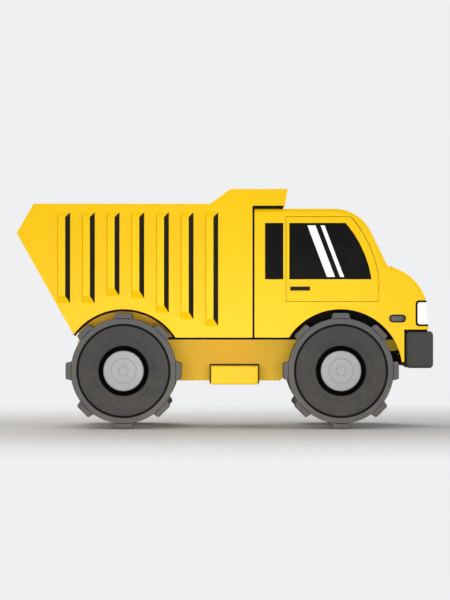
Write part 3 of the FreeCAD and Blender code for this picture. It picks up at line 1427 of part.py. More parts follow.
def make_dashboard():
    """Dashboard across the cab, sloping towards the driver, on the firewall and clear of the doors."""
    body = make_body("dashboard")
    foot = f"{FLOOR_Z} + Sizes.seat_height"
    top = f"{SILL_Z} + Sizes.dash_rise"
    across(body, f"{CAB_INNER} - Sizes.moving_gap", [
        (f"{FIREWALL_X} - Sizes.dash_depth", foot),
        (f"{FIREWALL_X} - Sizes.dash_depth", f"{SILL_Z} + Sizes.dash_rise / 4"),
        (f"{FIREWALL_X} - Sizes.dash_depth / 2", top),
        (FIREWALL_X, top),
        (FIREWALL_X, f"{foot} - Sizes.dash_rise"),
    ])


def make_steering_wheel():
    """Steering wheel with a faceted rim, three spokes and its column, which ends on the dashboard."""
    rim = number("Sizes.wheel_rim")
    ring = number("Sizes.wheel_ring")
    column = number("Sizes.column_radius")
    dash = next(item for item in SUB_PARTS if item.Label == "dashboard")
    DOC.recompute()
    foot = FreeCAD.Vector(
        number(f"{FIREWALL_X} - Sizes.dash_depth * 0.6"), number("Sizes.seat_y"),
        number(f"{FLOOR_Z} + Sizes.seat_height + Sizes.dash_rise / 4"))
    axis = FreeCAD.Vector(-0.75, 0, 0.66).normalize()
    hub = foot + axis * (ring + 4 * column)
    level = FreeCAD.Vector(0, 1, 0)
    up = axis.cross(level)

    def prism(radius, sides, start, thickness):
        turn = FreeCAD.Rotation(axis, 360 / sides)
        points = [up * radius]
        for _ in range(sides - 1):
            points.append(turn.multVec(points[-1]))
        corners = [start + point for point in points]
        return Part.Face(Part.makePolygon(corners + corners[:1])).extrude(axis * thickness)

    shape = prism(ring + rim, 20, hub - axis * rim, 2 * rim)
    shape = shape.cut(prism(ring - rim, 20, hub - axis * rim, 2 * rim))
    shape = shape.fuse(prism(column, 10, foot, ring + 4 * column + rim))
    for direction in (level, level * -1, up * -1):
        side = axis.cross(direction) * (rim * 0.7)
        base = hub - axis * (rim * 0.5)
        corners = [base - side, base + side, base + side + direction * ring, base - side + direction * ring]
        shape = shape.fuse(Part.Face(Part.makePolygon(corners + corners[:1])).extrude(axis * rim))
    shape = shape.cut(dash.Shape)
    if len(shape.Solids) > 1:
        shape = max(shape.Solids, key=lambda solid: solid.BoundBox.DiagonalLength)
    add_feature("steering_wheel", shape.removeSplitter())


def make_seats():
    """Two seats: base, cushion and back."""
    body = make_body("seats")
    rear = f"({FRONT_AXLE} - Sizes.seat_x)"
    front = f"({rear} + Sizes.seat_size)"
    cushion = f"({FLOOR_Z} + Sizes.seat_height - Sizes.cushion_thick)"
    for side in (-1, 1):
        inner = "Sizes.seat_y - Sizes.seat_size / 2"
        side_slab(body, side, inner, "Sizes.seat_size", [
            (f"{rear} - Sizes.back_thick", cushion),
            (front, cushion),
            (front, f"{cushion} + Sizes.cushion_thick"),
            (rear, f"{cushion} + Sizes.cushion_thick"),
            (f"{rear} - Sizes.back_thick / 2", f"{cushion} + Sizes.cushion_thick + Sizes.back_height"),
            (f"{rear} - Sizes.back_thick * 1.5", f"{cushion} + Sizes.cushion_thick + Sizes.back_height"),
        ])
        side_slab(body, side, f"{inner} + 80", "Sizes.seat_size - 160", box_corners(
            f"{rear} + 60", FLOOR_Z, f"{front} - 60", cushion))


def make_side_boxes():
    """Fuel and oil boxes on each side of the frame, and the black brackets that carry them."""
    boxes = make_body("side_boxes")
    brackets = make_body("box_brackets")
    rear = f"({REAR_AXLE} + Sizes.box_rear)"
    front = f"({FRONT_AXLE} - Sizes.box_front)"
    low = f"({BELLY_Z} - Sizes.box_drop)"
    top = f"({low} + Sizes.box_height)"
    inner = f"({RAIL_OUTER} + Sizes.gasket)"
    half = number("Sizes.box_outer")
    last = None
    for side in (-1, 1):
        last = side_slab(
            boxes, side, inner, f"Sizes.box_outer - {inner}",
            box_corners(rear, low, front, top))
        side_slab(brackets, side, RAIL_OUTER, "Sizes.gasket", box_corners(
            f"{rear} - Sizes.box_edge", low, f"{front} + Sizes.box_edge",
            f"{top} + Sizes.box_edge"))

    def outer_edge(edge):
        box = edge.BoundBox
        return box.YLength < 1 and abs(abs(box.YMin) - half) < 1

    fillet(boxes, last, "Sizes.box_round", outer_edge)


def make_tyre(name, x, side):
    """Lugged tyre: a turned carcass with a stepped sidewall, and bar lugs round the tread."""
    body = make_body(name)
    sign = "" if side > 0 else "-"
    place(body, x, f"{sign}{WHEEL_MIDDLE}", AXLE_Z, 180 if side > 0 else 0)
    half = "(Sizes.tyre_width / 2)"
    disc(body, "Additive", "Sizes.tread_radius", f"-{half}", "Sizes.tyre_width", 64)
    tip = AXLE_Z
    base = "(Sizes.tread_radius * 0.97)"
    flank = "(Sizes.lug_length / 2 + Sizes.lug_flare)"
    corner = "(Sizes.lug_length / 2 - Sizes.lug_flare)"
    lug = outline(make_sketch(body, "side"), [
        (f"-{flank}", f"-{base}"),
        (f"-{flank} + Sizes.lug_flare", f"-{tip} + 1.7 * Sizes.lug_flare"),
        (f"-{corner}", f"-sqrt({tip}^2 - {corner}^2)"),
        (corner, f"-sqrt({tip}^2 - {corner}^2)"),
        (f"{flank} - Sizes.lug_flare", f"-{tip} + 1.7 * Sizes.lug_flare"),
        (flank, f"-{base}"),
    ], {2: (tip, "ccw")})
    bar = pad(body, lug, "Sizes.tyre_width", middle=True)
    DOC.recompute()
    ring = body.newObject("PartDesign::PolarPattern", body.Name + "_lugs")
    ring.Originals = [bar]
    axis = next(f for f in body.Origin.OriginFeatures if f.Role == "Y_Axis")
    ring.Axis = (axis, [""])
    ring.Angle = 360
    ring.setExpression("Occurrences", "Sizes.lug_count")
    body.Tip = ring
    disc(body, "Subtractive", "Sizes.bead_radius", f"-{half}", "Sizes.tyre_width")
    step = f"{half} - Sizes.sidewall_step"
    disc(body, "Subtractive", "Sizes.shoulder_radius", step, "Sizes.sidewall_step")


def make_rim(name, x, side):
    """Steel wheel disc with its round hub cover, closed against the end of its spindle."""
    body = make_body(name)
    sign = "" if side > 0 else "-"
    place(body, x, f"{sign}{WHEEL_MIDDLE}", AXLE_Z, 180 if side > 0 else 0)
    face = "(Sizes.tyre_width / 2 - Sizes.hub_inset)"
    web = f"({face} - Sizes.rim_inset)"
    back = f"({SPINDLE_END} + Sizes.fit_gap - {WHEEL_MIDDLE})"
    disc(body, "Additive", "Sizes.bead_radius", back, f"{web} - {back}")
    disc(body, "Additive", "Sizes.hub_radius", web, "Sizes.rim_inset")


def make_wheels():
    """The four wheels, alike, each a tyre and a rim."""
    for end, x in (("front", FRONT_AXLE), ("rear", REAR_AXLE)):
        for side_name, side in (("left", 1), ("right", -1)):
            make_tyre(f"tyre_{end}_{side_name}", x, side)
            make_rim(f"rim_{end}_{side_name}", x, side)


def build_all():
    """Makes every sub-part in the document."""
    fill_sheet()
    make_frame()
    make_rest_pads()
    make_rear_axle()
    make_front_axle()
    make_knuckle("knuckle_left", 1)
    make_knuckle("knuckle_right", -1)
    make_tie_rod()
    make_leaf_springs()
    make_drive_shaft()
    make_engine()
    make_radiator()
    make_bumper()
    make_bumper_trim()
    make_tail_lamps()
    make_bed_sides()
    make_bed_floor()
    make_bed_headboard()
    make_cab_guard()
    make_bed_sills()
    make_hoist_bracket()
    make_hoist()
    make_cab_shell()
    make_cab_floor()
    make_wheel_housings()
    make_cab_glass()
    make_door("left", 1)
    make_door("right", -1)
    make_hood()
    make_grille()
    make_headlamps()
    make_markers()
    make_cab_seal()
    make_dashboard()
    make_steering_wheel()
    make_seats()
    make_side_boxes()
    make_wheels()
    DOC.recompute()


def check_all():
    """Stops if any object failed to compute or any sub-part isn't a sound solid."""
    for item in DOC.Objects:
        if "Invalid" in item.State or "Error" in item.State:
            raise RuntimeError(f"{item.Label} failed: {item.State}")
    for part in SUB_PARTS:
        shape = part.Shape
        if shape.isNull() or not shape.isValid() or not shape.Solids:
            raise RuntimeError(f"{part.Label} has no sound shape")


def write_all():
    """Writes each sub-part to its own STEP file."""
    os.makedirs("parts", exist_ok=True)
    for part in SUB_PARTS:
        part.Shape.exportStep(f"parts/{part.Label}.step")


build_all()
check_all()
write_all()
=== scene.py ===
"""Finish of a full-size dump truck: paint, tyres, glass, lamps, seats and the studio round it."""
import json
from math import cos, pi, radians, sin

import bpy
from bpy.props import FloatProperty, FloatVectorProperty, IntProperty, PointerProperty
from mathutils import Matrix, Vector


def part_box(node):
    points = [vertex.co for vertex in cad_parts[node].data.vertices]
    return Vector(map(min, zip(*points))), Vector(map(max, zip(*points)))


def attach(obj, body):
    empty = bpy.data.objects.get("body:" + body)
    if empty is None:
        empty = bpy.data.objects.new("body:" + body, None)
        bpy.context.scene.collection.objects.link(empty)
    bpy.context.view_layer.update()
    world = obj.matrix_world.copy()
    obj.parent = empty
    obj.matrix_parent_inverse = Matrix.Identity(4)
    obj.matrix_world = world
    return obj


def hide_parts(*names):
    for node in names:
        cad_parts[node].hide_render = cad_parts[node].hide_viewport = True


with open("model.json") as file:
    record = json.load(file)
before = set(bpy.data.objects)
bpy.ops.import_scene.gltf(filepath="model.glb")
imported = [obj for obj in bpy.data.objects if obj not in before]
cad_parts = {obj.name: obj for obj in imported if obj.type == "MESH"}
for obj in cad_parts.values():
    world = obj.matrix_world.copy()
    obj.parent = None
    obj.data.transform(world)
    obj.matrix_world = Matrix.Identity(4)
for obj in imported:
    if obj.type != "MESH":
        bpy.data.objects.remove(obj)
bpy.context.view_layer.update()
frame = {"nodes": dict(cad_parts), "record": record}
NODES = frame["nodes"]

bl_info = {
    "name": "Dump Truck Finish",
    "version": (1, 0, 0),
    "blender": (4, 5, 0),
    "location": "3D View > Sidebar > Truck",
    "description": "Dresses the dump truck's solids with paint, rubber, glass, lamps and seats",
    "category": "Object",
}

# Sides of the truck, with the sign of Y there.
SIDES = {"right": -1, "left": 1}

# Turns that lay a cylinder along an axis.
AXES = {"X": (0, pi / 2, 0), "Y": (pi / 2, 0, 0), "Z": (0, 0, 0)}

# The hoist's pins at its foot and its head, in the truck's middle, and how far each ram stands off it.
HOIST_FOOT = Vector((-0.930, 0, 0.880))
HOIST_HEAD = Vector((0.200, 0, 1.500))
RAM_OFFSET = 0.200


def linear(red, green, blue):
    """A colour given as 0 to 255 on screen, in the linear values that shaders use."""
    parts = []
    for value in (red, green, blue):
        share = value / 255
        parts.append(share / 12.92 if share <= 0.04045 else ((share + 0.055) / 1.055) ** 2.4)
    return tuple(parts)


# Tints of bare metal, next to the colours that a user would change.
RUST = linear(126, 84, 54)
PLATE_SCRATCH = linear(196, 192, 186)
HUB_SCRATCH = linear(190, 190, 189)
HUB_EDGE = linear(204, 203, 200)
WELD_DARK, WELD_WARM = linear(96, 88, 84), linear(150, 118, 88)
CHROME_DARK, CHROME_LIGHT = linear(196, 198, 200), linear(226, 227, 228)
LEAF_JOINT = (0.004, 0.004, 0.004)
CORE_SHADE = (0.006, 0.006, 0.006)


def colour(name, description, screen):
    """A colour setting, with its default as seen on screen."""
    return FloatVectorProperty(
        name=name, description=description, subtype="COLOR", size=3, min=0, max=1, default=linear(*screen))


def length(name, description, default):
    """A length setting in metres."""
    return FloatProperty(name=name, description=description, default=default, min=0, unit="LENGTH")


class TruckColours(bpy.types.PropertyGroup):
    """Colours of the truck's finishes."""
    paint: colour("Paint", "Bodywork, bed and frame", (255, 204, 0))
    # On the ribs' front flanks this black is painted shade; on brackets and rams it is real black paint.
    black: colour("Black paint", "Rib flanks, brackets and rams", (11, 10, 10))
    # Near black: the dishes' primer, and painted shade in their recess.
    dish: colour("Dish primer", "Deep dishes of the wheels", (5, 5, 5))
    tread: colour("Tread", "Tread and lugs", (95, 95, 95))
    sidewall: colour("Sidewall", "Tyre sidewalls", (69, 69, 69))
    bumper: colour("Bumper", "Moulded bumper", (69, 69, 69))
    hub: colour("Hub cover", "Plain metal hub covers", (146, 146, 146))
    steel: colour("Bed steel", "Scoured plate inside the bed", (128, 124, 118))
    iron: colour("Axle iron", "Axles, springs and knuckles", (58, 57, 56))
    plastic: colour("Plastic", "Cab mouldings, grille and handles", (24, 23, 22))
    # This black also stands for painted shade: in each tyre's outer groove and round the bed's wheel
    # arches.
    rubber: colour("Rubber", "Seals, gaskets and pads", (14, 13, 13))
    glass: colour("Glass", "Dark tinted glass", (12, 12, 13))
    # White of the bands on the door windows, which are painted reflections, and of the dial marks.
    highlight_and_print: colour("Stripe", "Slanted bands on the door windows", (255, 255, 255))
    lamp: colour("Lamp", "Corner lamps", (252, 252, 250))
    marker: colour("Marker", "Side marker lamps", (66, 66, 66))
    tail: colour("Tail lamp", "Rear lamps", (150, 10, 8))
    cloth: colour("Seat cloth", "Woven seat covers", (62, 63, 66))
    dust: colour("Dust", "Dry road dust", (150, 128, 96))
    bare: colour("Bare steel", "Steel where paint has worn off", (118, 112, 104))


class TruckSizes(bpy.types.PropertyGroup):
    """Sizes of the pieces that dress the solids."""
    groove_radius: length("Groove radius", "Middle of the black groove in the sidewall", 0.791)
    groove_width: length("Groove width", "Width of that groove", 0.038)
    groove_depth: length("Groove depth", "Depth of that groove", 0.018)
    lug_width: length("Lug width", "Width of a lug along the tread at its foot", 0.342)
    lug_round: length("Lug round", "Rounding of a lug's corners", 0.026)
    lug_gap: length("Lug gap", "Groove between a lug's blocks", 0.022)
    nut_ring: length("Nut ring", "Radius of the ring of wheel nuts", 0.389)
    nut_radius: length("Nut radius", "Radius of a wheel nut over its corners", 0.017)
    seal_width: length("Seal width", "Width of the rubber round each pane", 0.020)
    seal_height: length("Seal height", "How far that rubber stands off the glass", 0.010)
    strip_width: length("Strip width", "Width of the rubber strip inside each door's gap", 0.048)
    strip_depth: length("Strip depth", "Thickness of that strip", 0.014)
    # The coat on the flanks is painted shade.
    flank_skin: length("Flank skin", "Thickness of the black coat on a rib's flank", 0.003)
    # The bands on the windows are painted reflections.
    stripe_skin: length("Stripe skin", "Thickness of the bands on the windows", 0.0015)
    edging: length("Edging", "Thickness of the rubber round the bed's wheel arches", 0.038)
    cushion_round: length("Cushion round", "Rounding of a cushion's edges", 0.045)
    nuts: IntProperty(name="Nuts", description="Wheel nuts on a wheel", default=12, min=3, max=40)
    turns: IntProperty(name="Turns", description="Sides of a turned ring", default=128, min=24, max=256)


def sizes():
    return bpy.context.scene.truck_sizes


def colours():
    return bpy.context.scene.truck_colours


def rest_all():
    """Leaves edit mode and deselects everything."""
    if bpy.context.object and bpy.context.object.mode != "OBJECT":
        bpy.ops.object.mode_set(mode="OBJECT")
    bpy.ops.object.select_all(action="DESELECT")


def activate(piece):
    rest_all()
    piece.select_set(True)
    bpy.context.view_layer.objects.active = piece
    return piece


def settle(piece):
    """Puts a piece's place into its mesh."""
    activate(piece)
    bpy.ops.object.transform_apply(location=True, rotation=True, scale=True)
    return piece


def named(name):
    piece = bpy.context.object
    piece.name = name
    return settle(piece)


def block(name, low, high):
    """A box between two corners, to be shaped."""
    low, high = Vector(low), Vector(high)
    rest_all()
    bpy.ops.mesh.primitive_cube_add(size=1, location=(low + high) / 2, scale=high - low)
    return named(name)


def rod(name, centre, radius, span, turn, sides=24):
    """A round or many-sided bar along a main axis, or turned by three angles, to be shaped."""
    rest_all()
    bpy.ops.mesh.primitive_cylinder_add(
        vertices=sides, radius=radius, depth=span, location=centre, rotation=AXES.get(turn, turn))
    return named(name)


def drum(name, centre, radius, width, sides, turn=0.0):
    """A wide bar across the truck, turned about its own axis."""
    return rod(name, centre, radius, width, (pi / 2, turn, 0), sides)


def pick(piece, test):
    """Opens a piece in edit mode with the faces selected whose middle and direction pass a test."""
    activate(piece)
    mesh = piece.data
    bpy.context.tool_settings.mesh_select_mode = (False, False, True)
    mesh.vertices.foreach_set("select", [False] * len(mesh.vertices))
    mesh.edges.foreach_set("select", [False] * len(mesh.edges))
    mesh.polygons.foreach_set("select", [bool(test(f.center, f.normal)) for f in mesh.polygons])
    bpy.ops.object.mode_set(mode="EDIT")


def pick_points(piece, test):
    """Opens a piece in edit mode with the points selected that pass a test."""
    activate(piece)
    mesh = piece.data
    bpy.context.tool_settings.mesh_select_mode = (True, False, False)
    mesh.polygons.foreach_set("select", [False] * len(mesh.polygons))
    mesh.edges.foreach_set("select", [False] * len(mesh.edges))
    mesh.vertices.foreach_set("select", [bool(test(v.co)) for v in mesh.vertices])
    bpy.ops.object.mode_set(mode="EDIT")


def shift_points(piece, test, by):
    pick_points(piece, test)
    bpy.ops.transform.translate(value=by)
    bpy.ops.object.mode_set(mode="OBJECT")


def drop_faces(piece, test):
    pick(piece, test)
    bpy.ops.mesh.delete(type="FACE")
    bpy.ops.object.mode_set(mode="OBJECT")


def inset_faces(piece, test, *steps, **options):
    """Insets the faces that pass a test, once for each (thickness, depth)."""
    pick(piece, test)
    for thickness, depth in steps:
        bpy.ops.mesh.inset(thickness=thickness, depth=depth, **options)
    bpy.ops.object.mode_set(mode="OBJECT")


def scale_faces(piece, test, shares, centre):
    """Scales the faces that pass a test about a point."""
    pick(piece, test)
    bpy.ops.transform.resize(value=shares, center_override=centre)
    bpy.ops.object.mode_set(mode="OBJECT")


def keep_border(piece, width):
    """Leaves only a border of a sheet of faces."""
    pick(piece, lambda c, n: True)
    bpy.ops.mesh.inset(thickness=width, depth=0.0, use_boundary=True)
    bpy.ops.mesh.delete(type="FACE")
    bpy.ops.object.mode_set(mode="OBJECT")


def close_holes(piece, close):
    """Closes a piece's open rims with one of Blender's mesh operators."""
    activate(piece)
    bpy.ops.object.mode_set(mode="EDIT")
    bpy.context.tool_settings.mesh_select_mode = (False, True, False)
    bpy.ops.mesh.select_all(action="DESELECT")
    bpy.ops.mesh.select_non_manifold()
    close()
    bpy.ops.object.mode_set(mode="OBJECT")


def face_outwards(piece):
    """Recalculates a closed piece's normals."""
    activate(piece)
    bpy.ops.object.mode_set(mode="EDIT")
    bpy.ops.mesh.select_all(action="SELECT")
    bpy.ops.mesh.normals_make_consistent(inside=False)
    bpy.ops.object.mode_set(mode="OBJECT")


def thicken(piece, thickness, offset=1.0):
    """Gives a sheet of faces its thickness, outwards unless told otherwise."""
    activate(piece)
    bpy.ops.object.modifier_add(type="SOLIDIFY")
    wall = piece.modifiers[-1]
    wall.thickness = thickness
    wall.offset = offset
    wall.use_even_offset = True
    bpy.ops.object.modifier_apply(modifier=wall.name)


def round_edges(piece, width, segments=3, angle=30):
    """Rounds a piece's sharp edges."""
    activate(piece)
    bpy.ops.object.modifier_add(type="BEVEL")
    edge = piece.modifiers[-1]
    edge.width = width
    edge.segments = segments
    edge.limit_method = "ANGLE"
    edge.angle_limit = radians(angle)
    edge.harden_normals = False
    bpy.ops.object.modifier_apply(modifier=edge.name)


def smooth(piece, angle=35):
    activate(piece)
    bpy.ops.object.shade_smooth_by_angle(angle=radians(angle))


def twin(piece, name):
    """A copy of a piece with a mesh of its own."""
    activate(piece)
    bpy.ops.object.duplicate(linked=False)
    copy = bpy.context.object
    copy.name = name
    return copy


def moved(piece, by):
    activate(piece)
    bpy.ops.transform.translate(value=by)
    return settle(piece)


def turned(piece, angle, axis, centre):
    activate(piece)
    bpy.ops.transform.rotate(value=angle, orient_axis=axis, center_override=centre)
    return settle(piece)


def mirrored(piece, name):
    """A copy of a piece on the other side of the truck."""
    copy = twin(piece, name)
    bpy.ops.transform.mirror(constraint_axis=(False, True, False), center_override=(0, 0, 0))
    settle(copy)
    face_outwards(copy)
    return copy


def tip_angle(direction):
    """How far a direction in the truck's length is tipped up from +X."""
    return Vector((1, 0)).angle(Vector((direction.x, direction.z)))


def lay(piece, pivot, old, new):
    """Turns a piece about a pivot, from one direction to another."""
    turn = old.rotation_difference(new)
    move = Matrix.Translation(pivot) @ turn.to_matrix().to_4x4() @ Matrix.Translation(-pivot)
    piece.data.transform(move)
    return piece


def matrix_of(first, second, third):
    """A turn whose axes are three directions at right angles."""
    return Matrix((first, second, third)).transposed()


def joined(pieces, name):
    rest_all()
    for piece in pieces:
        piece.select_set(True)
    bpy.context.view_layer.objects.active = pieces[0]
    bpy.ops.object.join()
    pieces[0].name = name
    return pieces[0]


def from_solid(node, name):
    """A merged copy of a solid's skin, for a piece that follows it."""
    rest_all()
    piece = bpy.data.objects.new(name, NODES[node].data.copy())
    bpy.context.collection.objects.link(piece)
    activate(piece)
    bpy.ops.object.mode_set(mode="EDIT")
    bpy.ops.mesh.select_all(action="SELECT")
    bpy.ops.mesh.remove_doubles(threshold=0.0001)
    bpy.ops.mesh.dissolve_limited(angle_limit=radians(1))
    bpy.ops.object.mode_set(mode="OBJECT")
    piece.data.materials.clear()
    return piece


def give(piece, *names):
    """Adds materials to a piece by their names."""
    for name in names:
        piece.data.materials.append(bpy.data.materials[name])


def ready(piece, body, slot, *materials, replaces=()):
    """Gives a finished piece its materials, its body and the solids it stands for; its slot is not used.
    """
    for index, name in enumerate(materials):
        material = bpy.data.materials[name]
        if index < len(piece.data.materials):
            piece.data.materials[index] = material
        else:
            piece.data.materials.append(material)
    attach(piece, body)
    if replaces:
        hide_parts(*replaces)
    return piece


def bolt(name, radius, axis):
    """A hexagon head on a washer, along an axis at the origin."""
    head = rod(name, (0, 0, 0), radius, radius * 1.3, axis, 6)
    round_edges(head, radius * 0.12, 2)
    washer = rod("washer", (0, 0, 0), radius * 1.4, radius * 0.5, axis)
    round_edges(washer, radius * 0.08, 1)
    return joined([head, washer], name)


def spread(piece, places, name):
    """Copies of a piece at many places, joined into one."""
    copies = [moved(twin(piece, "copy"), place) for place in places[1:]]
    return joined([moved(piece, places[0])] + copies, name)


def both_sides(places):
    """The same places on both sides of the truck."""
    return [(x, side * y, z) for x, y, z in places for side in (-1, 1)]


class Graph:
    """A node tree with short calls for its nodes and links."""

    def __init__(self, tree):
        self.tree = tree

    def add(self, kind, settings=None, **inputs):
        """Adds a node; inputs are numbers, colours or sockets, with _ for a space in their names."""
        node = self.tree.nodes.new(kind)
        for name, value in (settings or {}).items():
            setattr(node, name, value)
        for name, value in inputs.items():
            self.feed(node, name.replace("_", " "), value)
        return node

    def feed(self, node, name, value):
        target = node.inputs[int(name) if name.isdigit() else name]
        if isinstance(value, bpy.types.NodeSocket):
            self.tree.links.new(value, target)
        elif target.type == "RGBA" and len(value) == 3:
            target.default_value = (*value, 1)
        else:
            target.default_value = value

    def math(self, operation, first, second=0.0, third=None, clamp=False):
        node = self.tree.nodes.new("ShaderNodeMath")
        node.operation = operation
        node.use_clamp = clamp
        self.feed(node, "0", first)
        self.feed(node, "1", second)
        if third is not None:
            self.feed(node, "2", third)
        return node.outputs[0]

    def span(self, value, low, high, to_low=0.0, to_high=1.0):
        """Maps a value's range onto another, clamped."""
        node = self.add("ShaderNodeMapRange", {"clamp": True})
        for name, given in (("Value", value), ("From Min", low), ("From Max", high),
                            ("To Min", to_low), ("To Max", to_high)):
            self.feed(node, name, given)
        return node.outputs["Result"]

    def mix(self, share, first, second):
        """Mixes two colours; a mix node's colours are its inputs 6 and 7, and its output 2."""
        node = self.tree.nodes.new("ShaderNodeMix")
        node.data_type = "RGBA"
        self.feed(node, "0", share)
        self.feed(node, "6", first)
        self.feed(node, "7", second)
        return node.outputs[2]

    def dot(self, first, second):
        """How far two directions agree, from -1 to 1."""
        node = self.tree.nodes.new("ShaderNodeVectorMath")
        node.operation = "DOT_PRODUCT"
        self.feed(node, "0", first)
        self.feed(node, "1", second)
        return node.outputs["Value"]

    def place(self, scale=(1, 1, 1), turn=(0, 0, 0)):
        """Object coordinates, scaled and turned."""
        where = self.tree.nodes.new("ShaderNodeTexCoord").outputs["Object"]
        return self.add("ShaderNodeMapping", Vector=where, Rotation=turn, Scale=scale).outputs["Vector"]

    def split(self, vector):
        """The X, Y and Z of a place or direction."""
        return self.add("ShaderNodeSeparateXYZ", Vector=vector).outputs

    def normal(self):
        """The direction that a face looks in, turning with its piece."""
        return self.tree.nodes.new("ShaderNodeTexCoord").outputs["Normal"]

    def noise(self, vector, scale, detail, rough=0.55):
        node = self.add("ShaderNodeTexNoise", Vector=vector, Scale=scale, Detail=detail, Roughness=rough)
        return node.outputs["Fac"]


def new_group(name, inputs, outputs):
    """An empty node group's graph, what its inputs give, and its output node."""
    group = bpy.data.node_groups.new(name, "ShaderNodeTree")
    for label, default in inputs:
        made = group.interface.new_socket(name=label, in_out="INPUT", socket_type="NodeSocketFloat")
        made.default_value = default
    for label in outputs:
        group.interface.new_socket(name=label, in_out="OUTPUT", socket_type="NodeSocketFloat")
    graph = Graph(group)
    start = group.nodes.new("NodeGroupInput")
    end = group.nodes.new("NodeGroupOutput")
    return graph, start.outputs, end


def build_edge_wear():
    """Mask of worn outer edges, broken up by noise."""
    inputs = [("Width", 0.01), ("Amount", 0.5), ("Grain", 9.0)]
    graph, given, end = new_group("Edge Wear", inputs, ["Mask"])
    rounded = graph.add("ShaderNodeBevel", {"samples": 4}, Radius=given["Width"]).outputs["Normal"]
    flat = graph.tree.nodes.new("ShaderNodeNewGeometry").outputs["Normal"]
    edge = graph.span(graph.dot(rounded, flat), 0.985, 0.86)
    patches = graph.span(graph.noise(graph.place(), given["Grain"], 5.0, 0.65), 0.46, 0.66)
    worn = graph.math("MULTIPLY", edge, patches)
    graph.feed(end, "Mask", graph.math("MULTIPLY", worn, given["Amount"], clamp=True))


def build_mottle():
    """Soft, slow variation and a fine grain over a surface."""
    inputs = [("Patch", 1.3), ("Grain", 180.0)]
    graph, given, end = new_group("Mottle", inputs, ["Patches", "Fine", "Streaks"])
    where = graph.place()
    graph.feed(end, "Patches", graph.noise(where, given["Patch"], 4.0, 0.6))
    graph.feed(end, "Fine", graph.noise(where, given["Grain"], 2.0, 0.5))
    run = graph.place(scale=(9, 9, 0.7))
    graph.feed(end, "Streaks", graph.span(graph.noise(run, 1.6, 4.0, 0.6), 0.5, 0.75))


def build_road_dust():
    """Mask of dust, thickest near the ground, in soft blotches."""
    inputs = [("Reach", 1.4), ("Amount", 0.5), ("Blotch", 2.2)]
    graph, given, end = new_group("Road Dust", inputs, ["Mask"])
    where = graph.place()
    low = graph.span(graph.split(where)["Z"], given["Reach"], 0.0)
    blotch = graph.span(graph.noise(where, given["Blotch"], 6.0, 0.62), 0.34, 0.72)
    mask = graph.math("MULTIPLY", low, blotch)
    graph.feed(end, "Mask", graph.math("MULTIPLY", mask, given["Amount"], clamp=True))


def build_scratches():
    """Long thin scratches in a few directions."""
    graph, given, end = new_group("Scratches", [("Fineness", 26.0), ("Amount", 0.5)], ["Mask"])
    total = None
    for degrees in (20, 65, 118):
        turn = radians(degrees)
        lie = graph.place(scale=(1, 0.03, 1), turn=(0.3, turn, turn))
        line = graph.span(graph.noise(lie, given["Fineness"], 2.0, 0.4), 0.66, 0.72)
        total = line if total is None else graph.math("MAXIMUM", total, line)
    graph.feed(end, "Mask", graph.math("MULTIPLY", total, given["Amount"], clamp=True))


def build_weave():
    """Crossed threads of a plain woven cloth."""
    graph, given, end = new_group("Weave", [("Threads", 260.0)], ["Height"])
    where = graph.split(graph.place())
    waves = []
    for axis in "XYZ":
        turn = graph.math("MULTIPLY", where[axis], given["Threads"])
        waves.append(graph.math("ABSOLUTE", graph.math("SINE", turn)))
    crossings = [graph.math("MULTIPLY", waves[1], wave) for wave in (waves[0], waves[2])]
    graph.feed(end, "Height", graph.math("MAXIMUM", *crossings))


class Finish:
    """A material with one Principled shader, and the shared groups ready to place."""

    def __init__(self, name, roughness=0.5, metallic=0.0, specular=0.3, **constants):
        material = bpy.data.materials.new(name)
        material.use_nodes = True
        tree = material.node_tree
        tree.nodes.clear()
        self.graph = Graph(tree)
        self.shader = tree.nodes.new("ShaderNodeBsdfPrincipled")
        out = tree.nodes.new("ShaderNodeOutputMaterial")
        tree.links.new(self.shader.outputs[0], out.inputs[0])
        self.set(Roughness=roughness, Metallic=metallic, Specular_IOR_Level=specular, **constants)

    def set(self, **inputs):
        for name, value in inputs.items():
            self.graph.feed(self.shader, name.replace("_", " "), value)

    def group(self, name, **inputs):
        """Places one of the shared groups with its own values."""
        node = self.graph.tree.nodes.new("ShaderNodeGroup")
        node.node_tree = bpy.data.node_groups[name]
        for label, value in inputs.items():
            self.graph.feed(node, label, value)
        return node.outputs

    def bump(self, height, distance, strength=1.0):
        node = self.graph.add("ShaderNodeBump", Height=height, Distance=distance, Strength=strength)
        self.graph.feed(self.shader, "Normal", node.outputs["Normal"])


def tinted(finish, base, patches, spread=0.06):
    """A base colour that varies a little over its surface."""
    dark = [part * (1 - spread) for part in base]
    light = [min(1, part * (1 + spread * 0.4)) for part in base]
    return finish.graph.mix(patches, dark, light)


def side_scour(finish):
    """Mask of paint rubbed off the inner faces of the bed's sides, most of it low down."""
    rim_height, floor_height = 3.9, 2.1
    graph = finish.graph
    where = graph.split(graph.place())
    # An inner face looks back towards the middle, so its direction and its place differ in sign.
    inward = graph.math("MULTIPLY", graph.split(graph.normal())["Y"], where["Y"])
    inside = graph.span(inward, -0.6, -1.0)
    low = graph.span(where["Z"], rim_height, floor_height, 0.3, 1.0)
    rubbed = graph.span(graph.noise(graph.place(), 2.2, 7.0, 0.7), 0.50, 0.60)
    scratch = finish.group("Scratches", Fineness=20.0, Amount=0.9)["Mask"]
    mask = graph.math("MULTIPLY", graph.math("MAXIMUM", rubbed, scratch), low)
    return graph.math("MULTIPLY", mask, inside)


